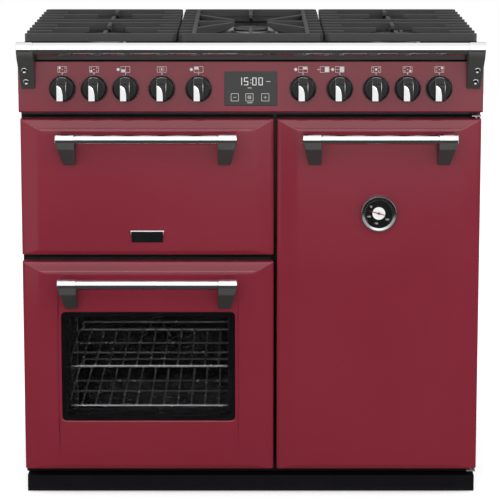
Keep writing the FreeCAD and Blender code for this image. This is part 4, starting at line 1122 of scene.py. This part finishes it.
class COOKER_OT_clock(CookerOperator):
    """Clock glass with lit digits and touch keys"""

    bl_idname = "cooker.clock"
    bl_label = "Clock"

    def execute(self, context):
        sizes = context.scene.cooker_controls
        low, high = size_of("clock_display")
        arris, ease, corner, digits_up, keys_down = (size * MM for size in (1.2, 0.6, 2, 14, 17))
        mesh = bmesh.new()
        loft(mesh, [inset_ring(low, high, inward, y, corner - inward)
                    for inward, y in eased([(0, high.y), (0, low.y), (arris, low.y)], ease, 3)])
        piece("clock_glass", mesh, display_glass(), "root", ("clock_display",))
        x, z = (low.x + high.x) / 2, (low.z + high.z) / 2
        y_range = print_depths(sizes, low.y)
        self.digits(sizes, x, z + digits_up, y_range)
        self.keys(sizes, z - keys_down, z + digits_up, y_range)
        return {"FINISHED"}

    def digits(self, sizes, middle, z, y_range):
        """Time of day with two dots between hours and minutes."""
        width, height = sizes.digit_width, sizes.digit_height
        gap, aside, colon, colon_dot, colon_rise = 4 * MM, 3 * MM, 1 * MM, 0.9 * MM, 0.2 * height
        x = middle - 2 * width - 1.5 * gap - aside
        mesh = bmesh.new()
        for figure in "15:00":
            if figure == ":":
                for way in (-1, 1):
                    dot(mesh, x + colon, z + way * colon_rise, colon_dot, y_range)
                x += gap
            else:
                self.digit(mesh, figure, x, z, width, height, y_range)
                x += width + gap
        piece("clock_digits", mesh, lit_digits(), "root")

    def keys(self, sizes, z_key, z_digits, y_range):
        """Three framed touch keys with a minus, a barred square and a plus, and three short bars."""
        half, line, arm = sizes.key / 2, 0.7 * MM, 3 * MM
        mesh = bmesh.new()
        for sign, x in (("minus", -31 * MM), ("square", -2.6 * MM), ("plus", 28 * MM)):
            frame_line(mesh, x, z_key, half, half, y_range, line)
            block(mesh, x, z_key, arm, line / 2, y_range)
            if sign == "plus":
                block(mesh, x, z_key, line / 2, arm, y_range)
            if sign == "square":
                frame_line(mesh, x, z_key, arm, arm, y_range, line)
        for x, z, reach in ((34 * MM, z_digits, 4 * MM), (-2 * MM, z_digits - 12.5 * MM, 4 * MM),
                            (-2 * MM, z_key - 10.5 * MM, 5 * MM)):
            slab(mesh, (x - reach, x + reach), y_range, (z - line, z + line / 2))
        piece("clock_keys", mesh, printed(), "root")

    def digit(self, mesh, figure, x, z, width, height, y_range):
        """Seven-stroke figure whose left edge is at x."""
        line, half = 1.3 * MM, height / 2
        strokes = {"a": ((0, width), (half - line, half)), "g": ((0, width), (-line / 2, line / 2)),
                   "d": ((0, width), (-half, line - half)), "f": ((0, line), (0, half)),
                   "e": ((0, line), (-half, 0)), "b": ((width - line, width), (0, half)),
                   "c": ((width - line, width), (-half, 0))}
        for name in {"1": "bc", "5": "afgcd", "0": "abcdef"}[figure]:
            (x0, x1), (z0, z1) = strokes[name]
            slab(mesh, (x + x0, x + x1), y_range, (z + z0, z + z1))


class COOKER_OT_knobs(CookerOperator):
    """Knobs with their chrome inlays, bezels and spindles"""

    bl_idname = "cooker.knobs"
    bl_label = "Knobs"

    def execute(self, context):
        sizes = context.scene.cooker_controls
        low, high = size_of("knob_bezels")
        height, edge, ease = high.y - low.y, 1 * MM, 0.6 * MM
        ring = eased([(sizes.bore, 0), (sizes.bore, height * 0.7), (sizes.bezel - edge, height),
                      (sizes.bezel, height * 0.6), (sizes.bezel, 0)], ease, 3)
        bezels = bmesh.new()
        for knob, node in enumerate(KNOBS, 1):
            (x0, front, z0), (x1, _, z1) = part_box(node)
            x, z = (x0 + x1) / 2, (z0 + z1) / 2
            lathe(bezels, ring, (x, high.y, z), FORWARD, closed=True)
            self.knob(sizes, node, x, z, front)
            if knob in GAS_KNOBS:
                painted("tap_spindle_%02d" % knob, brass())
        piece("bezel_rings", bezels, smoked_chrome(), "root", ("knob_bezels",))
        return {"FINISHED"}

    def grip_line(self, sizes, front, x, z, side):
        """Outline of the grip over its face at one distance from its middle, kept inside the round skirt."""
        inside, sunk, bend = 0.4 * MM, 2 * MM, 4 * MM
        foot, reach = front + sizes.reach - sizes.skirt, math.sqrt((sizes.knob - inside) ** 2 - side ** 2)
        line = eased([(foot + sunk, -reach), (foot, -reach), (front, -sizes.grip_low),
                      (front + sizes.lean, sizes.grip_high), (foot, reach), (foot + sunk, reach)], bend, 6)
        return [Vector((x + side, y, z + height)) for y, height in line]

    def knob(self, sizes, node, x, z, front):
        """Round skirt with its grip, and the chrome on it; the black of the grip's face beside and above the
        chrome is painted reflection, standing for the dark reflection in a chrome front.
        """
        edge, shoulder, ease, inlay_rise, steps = 1 * MM, 2.5 * MM, 2 * MM, 0.4 * MM, 6
        mesh = bmesh.new()
        lathe(mesh, eased([(0, 0), (sizes.knob - edge, 0), (sizes.knob, edge),
                           (sizes.knob, sizes.skirt - shoulder), (sizes.knob - shoulder, sizes.skirt),
                           (0, sizes.skirt)], ease), (x, front + sizes.reach, z), FORWARD)
        half, face = sizes.grip / 2, front + inlay_rise
        shares = [2 * step / steps - 1 for step in range(steps + 1)]
        loft(mesh, [self.grip_line(sizes, face, x, z, half * share) for share in shares])
        body = body_holding(node)
        piece(node + "_form", mesh, knob_black(), body, (node,), bevel=0.9 * MM, segments=3)
        chrome_and_highlights = bmesh.new()
        # The blade marks the bright part of the grip's reflection; the black moulding round it stands for the
        # dark part: painted reflection.
        self.inlay(chrome_and_highlights, sizes, face, x, z)
        # The chrome lines on the grip's edges are painted highlights.
        self.highlight_lines(chrome_and_highlights, sizes, face, x, z, half, shares)
        piece(node + "_trim", chrome_and_highlights, chrome(), body, angle=50)

    def highlight_lines(self, mesh, sizes, face, x, z, half, shares):
        """Thin bright chrome lines up the grip's left side, over its top and down its right side: painted
        highlights where light catches the grip's edges.
        """
        inset, thin, start_thin, widening, start, foot = (size * MM for size in (1.1, 0.2, 0.22, 0.3, 6, 1))
        edge, top = half - inset, -8
        left, right = (self.grip_line(sizes, face, x, z, side) for side in (-edge, edge))
        arch = [self.grip_line(sizes, face, x, z, edge * share)[top] for share in shares]
        tube(mesh, [point for point in left[:top] if point.z > z + start] + arch, thin, 6)
        side = [point for point in right[:top + 1] if point.z > z - sizes.grip_low + foot]
        tube(mesh, side, [start_thin + widening * index / len(side) for index in range(len(side))], 6)

    def inlay(self, mesh, sizes, face, x, z):
        """Chrome blade on the grip's face, straight below and curving to one side at its top; its outline
        follows where the bright reflection turns dark, so the black beyond it is painted reflection.
        """
        steps, aside, crown, least, foot_step = 14, 1.2 * MM, 0.35 * MM, 0.3 * MM, 1.5 * MM
        bottom, top, bend = 0.6 * MM - sizes.grip_low, sizes.grip_high - 0.5 * MM, -12 * MM
        left = x - sizes.grip / 2 + aside
        full = sizes.grip_low + sizes.grip_high
        heights = [bottom, bottom + foot_step, bend]
        heights += [bend + (top - bend) * math.sin(math.pi / 2 * step / steps)
                    for step in range(1, steps + 1)]
        rings = []
        for height in heights:
            share = max(0.0, (height - bend) / (top - bend))
            width = max(sizes.inlay * math.sqrt(max(0.0, 1 - share ** 2)), least)
            y = face + sizes.lean * (height + sizes.grip_low) / full
            rings.append([Vector((left + width * across, y + lift, z + height)) for across, lift in
                          ((0, crown), (0, 0), (0.25, -crown), (0.75, -crown), (1, 0), (1, crown))])
        loft(mesh, rings)


class COOKER_OT_hand_rail(CookerOperator):
    """Hand rail on its two end brackets"""

    bl_idname = "cooker.hand_rail"
    bl_label = "Hand rail"

    def execute(self, context):
        low, high = size_of("hand_rail")
        cap = (high.y - low.y) / 2
        y, z = (low.y + high.y) / 2, (low.z + high.z) / 2
        rail, cap_length, inside = 12 * MM, 31 * MM, 1 * MM
        bar = bar_with_sleeves((low.x, high.x), y, z, rail, cap, cap_length)
        piece("rail_bar", bar, chrome(), "root", ("hand_rail",))
        foot, top = size_of("rail_brackets")
        width, foot_width, toe, hob = 33 * MM, 26 * MM, 9 * MM, 7.5 * MM
        front, heel, knee = y - rail, top.y - toe, z - 1.5 * rail
        levels = [(foot.z, heel, top.y), (knee, front, top.y), (z - hob, front, top.y),
                  (z - inside, front, y + rail)]
        slope = Vector((0, front - heel, knee - foot.z)).normalized()
        brackets, dishes, hollows = (bmesh.new() for _ in range(3))
        for outer, way in ((foot.x, 1), (top.x, -1)):
            tapered_bracket(brackets, outer, way, width, foot_width, z, levels)
            for along, inset in ((0.27, 0.52), (0.7, 0.45)):
                spot = Vector((outer + way * width * inset, heel, foot.z)) + slope * (knee - foot.z) * along
                self.screw(dishes, hollows, spot, Vector((0, -slope.z, slope.y)))
        piece("rail_bracket_forms", brackets, bracket_grey(), "root", ("rail_brackets",),
              bevel=1.2 * MM, segments=3)
        piece("rail_screw_rims", dishes, chrome(), "root")
        # The black discs in the screws' sockets are painted shade for the dark inside of each socket.
        piece("rail_screw_hollows", hollows, plinth_black(), "root")
        return {"FINISHED"}

    def screw(self, dishes, hollows, spot, normal):
        """Chrome dish round a black disc that fills its socket: painted shade standing for the dark inside of
        the socket.
        """
        depth, floor, radius, socket = -1 * MM, 0.1 * MM, 2.7 * MM, 2.8 * MM
        rim = [(6 * MM, depth), (5.8 * MM, 1 * MM), (5.3 * MM, 1.5 * MM)]
        lathe(dishes, rim + [(radius, floor), (radius, depth)], spot, normal, 32, closed=True)
        lathe(hollows, [(0, depth), (socket, depth), (socket, floor), (0, floor)], spot, normal, 24)


def burner_spots(context):
    """Radius and plan position of each burner, worked out from the pan supports as the cooker does."""
    sizes = context.scene.cooker_hob
    low, high = size_of("pan_support_left")
    pitch = (high.y - low.y - sizes.bar) / (sizes.bars - 1)
    front = low.y + sizes.bar / 2 + sizes.burner_bar * pitch
    rear = low.y + sizes.bar / 2 + (sizes.bars - 1 - sizes.burner_bar) * pitch
    return {"rear_left": (sizes.middle, -sizes.burner_x, rear),
            "front_left": (sizes.middle, -sizes.burner_x, front),
            "centre": (sizes.wok, 0.0, (front + rear) / 2),
            "front_right": (sizes.large, sizes.burner_x, front),
            "rear_right": (sizes.small, sizes.burner_x, rear)}


class COOKER_OT_hob(CookerOperator):
    """Hob plate with its burners and igniters"""

    bl_idname = "cooker.hob"
    bl_label = "Hob"

    def execute(self, context):
        sizes = context.scene.cooker_hob
        softened("hob_top", hob_enamel(), 3)
        level = size_of("hob_top")[1].z
        crowns, caps, pins, tips = (bmesh.new() for _ in range(4))
        port_shades, wok_gap = [], 2 * MM
        spots = burner_spots(context)
        for name, (radius, x, y) in spots.items():
            self.crown(crowns, sizes, radius, x, y, level)
            self.cap(caps, sizes, radius, x, y, level + sizes.crown)
            port_shades.append(self.ports(sizes, radius, x, y, level))
            outer = sizes.wok_outer + wok_gap if name == "centre" else radius + sizes.flare
            self.igniter(pins, tips, outer, x, y, level)
        self.wok_ring(crowns, sizes, spots["centre"], level)
        piece("crown_forms", crowns, alloy(), "root", ("burner_crowns",))
        piece("cap_forms", caps, cap_enamel(), "root", ("burner_caps",))
        # The dark blocks round the crowns are painted shade for the dark inside of the flame openings.
        piece("flame_ports", joined(port_shades), satin_black(), "root", outward=False)
        piece("igniter_bodies", pins, ceramic(), "root")
        piece("igniter_tips", tips, zinc(), "root")
        return {"FINISHED"}

    def crown(self, mesh, sizes, radius, x, y, level):
        """Crown with a wider foot."""
        foot, top, neck, ease = radius + sizes.flare, radius - sizes.flare, 2 * MM, 0.8 * MM
        base, bend, rise = 1.5 * MM, 3 * MM, 4 * MM
        lathe(mesh, eased([(0, 0), (foot, 0), (foot, base), (foot - neck, bend), (radius - neck, rise),
                           (top, sizes.crown), (0, sizes.crown)], ease, 3), (x, y, level), UP, 64)

    def cap(self, mesh, sizes, radius, x, y, level):
        """Cap with a sloping rim and a shallow dish in its middle."""
        edge, under, rim, rim_drop, dish, ease = 1 * MM, 0.6 * MM, 3 * MM, 2.4 * MM, 0.6 * MM, 1 * MM
        top = sizes.cap
        lathe(mesh, eased([(0, 0), (radius - under, 0), (radius, edge), (radius, top - rim_drop),
                           (radius - rim, top), (radius * 0.45, top), (radius * 0.4, top - dish),
                           (0, top - dish)], ease), (x, y, level), UP, 64)

    def igniter(self, pins, tips, outer, x, y, level):
        """Ceramic pin with a metal tip, beside a burner."""
        turn, gap = math.radians(-38), 5 * MM
        reach = outer + gap
        spot = (x + reach * math.cos(turn), y + reach * math.sin(turn), level)
        wide, thin, wire, shoulder, neck, height, tip = (size * MM for size in (3.2, 2.2, 0.9, 5, 6, 8, 10.5))
        point = 0.4 * MM
        lathe(pins, [(0, 0), (wide, 0), (wide, shoulder), (thin, neck), (thin, height), (0, height + point)],
              spot, UP, 20)
        lathe(tips, [(0, height), (wire, height), (wire, tip), (0, tip + point)], spot, UP, 12)

    def wok_ring(self, mesh, sizes, wok, level):
        """Ring round the central burner with the bridge that carries it."""
        _, x, y = wok
        inner, outer, height = sizes.wok_inner, sizes.wok_outer, sizes.wok_height
        step, ease = 1.5 * MM, 1 * MM
        lathe(mesh, eased([(inner, 0), (outer, 0), (outer, height * 0.35), (outer - step, height * 0.55),
                           (outer - step, height), (inner + sizes.flare, height), (inner, height * 0.4)],
                          ease, 3), (x, y, level), UP, 96, closed=True)
        reach, half, thickness = inner + sizes.flare, 4 * MM, 5 * MM
        slab(mesh, (x - reach, x + reach), (y - half, y + half), (level, level + thickness))

    def ports(self, sizes, radius, x, y, level):
        """Ring of dark blocks set into a crown where its flame openings are: painted shade standing for the
        dark inside of each opening.
        """
        inward, outward, half, foot, gap = 0.8 * MM, 1 * MM, 0.7 * MM, 4.6 * MM, 0.4 * MM
        pitch, inset = 4.6 * MM, 3.4 * MM
        slot = bmesh.new()
        slab(slot, (-inward, outward), (-half, half), (foot, sizes.crown - gap))
        count = int(2 * math.pi * radius / pitch)
        return repeated(slot, satin_black(), ring=True, Count=count, Start=(x, y, level),
                        Radius=radius - inset)


class COOKER_OT_pan_supports(CookerOperator):
    """Cast pan supports"""

    bl_idname = "cooker.pan_supports"
    bl_label = "Pan supports"

    def execute(self, context):
        sizes = context.scene.cooker_hob
        level = size_of("hob_top")[1].z
        clearance, lap = 0.8 * MM, 9 * MM
        for side in ("left", "centre", "right"):
            node = "pan_support_" + side
            softened(node, cast_iron())
            low, high = size_of(node)
            apron = bmesh.new()
            slab(apron, (low.x + sizes.bar, high.x - sizes.bar),
                 (high.y - sizes.bar * 0.9, high.y - sizes.bar * 0.1), (level + clearance, high.z - lap))
            piece(node + "_apron", apron, cast_iron(), body_holding(node), bevel=1 * MM)
        return {"FINISHED"}


class COOKER_OT_ovens(CookerOperator):
    """Oven linings, shelves, fans, element and door seals"""

    bl_idname = "cooker.ovens"
    bl_label = "Ovens"

    def execute(self, context):
        for node in ("grill_liner", "main_oven_liner", "tall_oven_liner"):
            painted(node, oven_enamel())
        softened("fan_covers", oven_enamel())
        softened("grill_pan", oven_enamel())
        softened("main_oven_fan", element_steel())
        softened("tall_oven_fan", element_steel())
        softened("fan_motors", zinc())
        painted("shelf_supports", wire_chrome())
        painted("grill_element", element_steel())
        softened("door_seals", rubber())
        for node in ("main_shelf_lower", "main_shelf_upper", "tall_oven_shelf"):
            self.shelf(node)
        return {"FINISHED"}

    def shelf(self, node):
        """Bent frame wire with the long wires across it, two stays and a raised guard at the rear."""
        low, high = size_of(node)
        rod, wire, corner, spacing, rise, fit = 3 * MM, 2 * MM, 9 * MM, 27 * MM, 17 * MM, 0.93
        x0, x1, y0, y1, z = low.x + rod, high.x - rod, low.y + rod, high.y - rod, low.z + rod
        mesh = bmesh.new()
        around = rounded_ring((x0, x1), (y0, y1), 0, corner, 5)
        tube(mesh, [(point.x, point.z, z) for point in around], rod * fit, 12, closed=True)
        count = int((x1 - x0) / spacing)
        pitch = (x1 - x0) / count
        form = bmesh.new()
        tube(form, [(0, y0, 0), (0, y1, 0)], wire * fit, 10)
        wires = repeated(form, wire_chrome(), Count=count - 1, Start=(x0 + pitch, 0, z + rod),
                         Step=(pitch, 0, 0))
        for share in (0.36, 0.62):
            y = low.y + share * (high.y - low.y)
            tube(mesh, [(x0, y, z), (x1, y, z)], wire, 10)
        side, other, bend = x0 + 3 * rod, x1 - 3 * rod, z + rise - rod
        tube(mesh, [(side, y1, z), (side, y1, bend), (side + rod, y1, z + rise), (other - rod, y1, z + rise),
                    (other, y1, bend), (other, y1, z)], wire, 10)
        piece(node + "_wires", joined([mesh, wires]), wire_chrome(), body_holding(node), (node,))


class COOKER_OT_stage(CookerOperator):
    """Floor, backdrop, lamps and camera"""

    bl_idname = "cooker.stage"
    bl_label = "Stage"

    def execute(self, context):
        studio = context.scene.cooker_studio
        context.scene.view_settings.view_transform = "Standard"
        self.backdrop(studio)
        self.cards(studio)
        self.world(context, studio)
        self.lamp("front_light", studio.key, (-0.5, -3.2, 3.4), (0, 0, 0.45), 4.4, 2.6)
        self.lamp("strip_light", studio.strip, (0, -3.6, 1.25), (0, 0, 0.45), 4.0, 0.35)
        self.lamp("side_light", studio.fill, (3.4, -1.8, 1.6), (0, 0, 0.5), 1.6, 2.2)
        self.camera(context, studio)
        return {"FINISHED"}

    def cards(self, studio):
        """Painted reflections: glowing cards that only reflections see, for the floor in front, its brighter
        left side and a dark card behind the hob.
        """
        near, far, wide, lift, side_lift, rear, foot = 0.35, -9, 6.0, 0.01, 0.02, 2.0, 0.86
        side = [(-1.2, -1.9), (-1.35, -2.6), (-1.75, -4.0), (-2.9, -6.5), (-wide, -6.5), (-wide, -1.9)]
        top = foot + studio.rear_card
        floor = [(-wide, near), (wide, near), (wide, far), (-wide, far)]
        self.card("floor_card", [(x, y, lift) for x, y in floor], self.fading_paint(studio))
        self.card("side_card", [(x, y, side_lift) for x, y in side],
                  self.card_paint("side_card", studio.side_glow))
        wall = [(-rear, foot), (rear, foot), (rear, top), (-rear, top)]
        self.card("rear_card", [(x, rear, z) for x, z in wall],
                  self.card_paint("rear_card", studio.rear_glow))

    def camera(self, context, studio):
        data = bpy.data.cameras.new("camera")
        data.lens = studio.lens
        data.sensor_width = 36
        data.shift_x = studio.shift_x
        data.shift_y = studio.shift_y
        camera = placed("camera", data)
        camera.location = (0, size_of("grill_door_panel")[0].y - studio.distance, studio.height)
        camera.rotation_euler = (math.pi / 2 - studio.pitch, 0, 0)
        context.scene.camera = camera

    def seen_rays(self, tree):
        """1 for rays of the camera, of reflections and through glass, 0 for all else."""
        rays = tree.nodes.new("ShaderNodeLightPath").outputs
        seen = rays["Is Camera Ray"]
        for name in ("Is Glossy Ray", "Is Transmission Ray"):
            seen = new_node(tree, "ShaderNodeMath", seen, rays[name], operation="MAXIMUM").outputs[0]
        return seen

    def backdrop(self, studio):
        mesh = bmesh.new()
        bmesh.ops.create_grid(mesh, x_segments=1, y_segments=1, size=6)
        floor = placed("floor", mesh_data("floor", mesh))
        paint = bpy.data.materials.new("pale_floor")
        paint.use_nodes = True
        tree = paint.node_tree
        lift = new_node(tree, "ShaderNodeMath", self.seen_rays(tree), studio.floor_lift, operation="MULTIPLY")
        wire(tree, tree.nodes["Principled BSDF"], Base_Color=(0.9, 0.9, 0.9, 1), Roughness=0.9,
             Emission_Color=WHITE, Emission_Strength=lift.outputs[0])
        floor.data.materials.append(paint)

    def card(self, name, corners, paint):
        """Card that only reflections see, glowing as a painted reflection."""
        mesh = bmesh.new()
        mesh.faces.new([mesh.verts.new(corner) for corner in corners])
        made = placed(name, mesh_data(name, mesh))
        made.data.materials.append(paint)
        made.visible_camera = made.visible_diffuse = made.visible_shadow = made.visible_transmission = False

    def card_paint(self, name, glow):
        """Even glowing paint of a card that only reflections see: a painted reflection."""
        paint = bpy.data.materials.new(name)
        paint.use_nodes = True
        wire(paint.node_tree, paint.node_tree.nodes["Principled BSDF"], Base_Color=(0, 0, 0, 1),
             Specular_IOR_Level=0, Emission_Color=WHITE, Emission_Strength=glow)
        return paint

    def fading_paint(self, studio):
        """Glowing paint of the floor's reflection card, a painted reflection: dark near the cooker, white far
        in front, and later so to the left.
        """
        paint = self.card_paint("floor_card", 0)
        tree = paint.node_tree
        place = tree.nodes.new("ShaderNodeTexCoord").outputs["Object"]
        parts = new_node(tree, "ShaderNodeSeparateXYZ", Vector=place).outputs
        side, start = 0.8, studio.fade_start
        left = new_node(tree, "ShaderNodeMapRange", Value=parts["X"], From_Min=0, From_Max=-side,
                        To_Min=start, To_Max=start + side * studio.fade_slant)
        ahead = new_node(tree, "ShaderNodeMath", parts["Y"], -1, operation="MULTIPLY")
        fade = new_node(tree, "ShaderNodeMapRange", Value=ahead.outputs[0], From_Min=left.outputs["Result"],
                        From_Max=studio.fade_end, To_Min=studio.near_glow)
        wire(tree, tree.nodes["Principled BSDF"], Emission_Strength=fade.outputs["Result"])
        return paint

    def world(self, context, studio):
        world = bpy.data.worlds.new("studio")
        world.use_nodes = True
        tree = world.node_tree
        plain = wire(tree, tree.nodes["Background"], Color=WHITE, Strength=studio.sky)
        white = new_node(tree, "ShaderNodeBackground", Color=WHITE)
        mix = new_node(tree, "ShaderNodeMixShader", self.seen_rays(tree), plain.outputs[0], white.outputs[0])
        wire(tree, tree.nodes["World Output"], Surface=mix.outputs[0])
        context.scene.world = world

    def lamp(self, name, power, place, aim, width, height):
        data = bpy.data.lights.new(name, "AREA")
        data.shape = "RECTANGLE"
        data.energy = power
        data.size, data.size_y = width, height
        lamp = placed(name, data)
        lamp.location = place
        lamp.rotation_euler = (Vector(aim) - Vector(place)).to_track_quat("-Z", "Y").to_euler()


OPERATORS = (COOKER_OT_casing, COOKER_OT_ovens, COOKER_OT_doors, COOKER_OT_handles, COOKER_OT_window,
             COOKER_OT_thermometer, COOKER_OT_fascia, COOKER_OT_clock, COOKER_OT_knobs, COOKER_OT_hand_rail,
             COOKER_OT_hob, COOKER_OT_pan_supports, COOKER_OT_stage)
SETTINGS = {"cooker_colours": CookerColours, "cooker_doors": DoorSizes, "cooker_controls": ControlSizes,
            "cooker_hob": HobSizes, "cooker_studio": StudioSettings}


class COOKER_PT_panel(bpy.types.Panel):
    """Lists the cooker's settings and operators."""

    bl_idname = "COOKER_PT_panel"
    bl_label = "Range cooker"
    bl_space_type = "VIEW_3D"
    bl_region_type = "UI"
    bl_category = "Cooker"

    def draw(self, context):
        for name, kind in SETTINGS.items():
            box = self.layout.box()
            box.label(text=kind.__doc__)
            for key in kind.__annotations__:
                box.prop(getattr(context.scene, name), key)
        for operator in OPERATORS:
            self.layout.operator(operator.bl_idname)


def register():
    for kind in (*SETTINGS.values(), *OPERATORS, COOKER_PT_panel):
        bpy.utils.register_class(kind)
    for name, kind in SETTINGS.items():
        setattr(bpy.types.Scene, name, bpy.props.PointerProperty(type=kind))


def unregister():
    for name in SETTINGS:
        delattr(bpy.types.Scene, name)
    for kind in (COOKER_PT_panel, *reversed(OPERATORS), *SETTINGS.values()):
        bpy.utils.unregister_class(kind)


def main():
    """Registers the classes and makes every piece."""
    register()
    for operator in OPERATORS:
        group, name = operator.bl_idname.split(".")
        getattr(getattr(bpy.ops, group), name)()


if __name__ == "__main__":
    main()
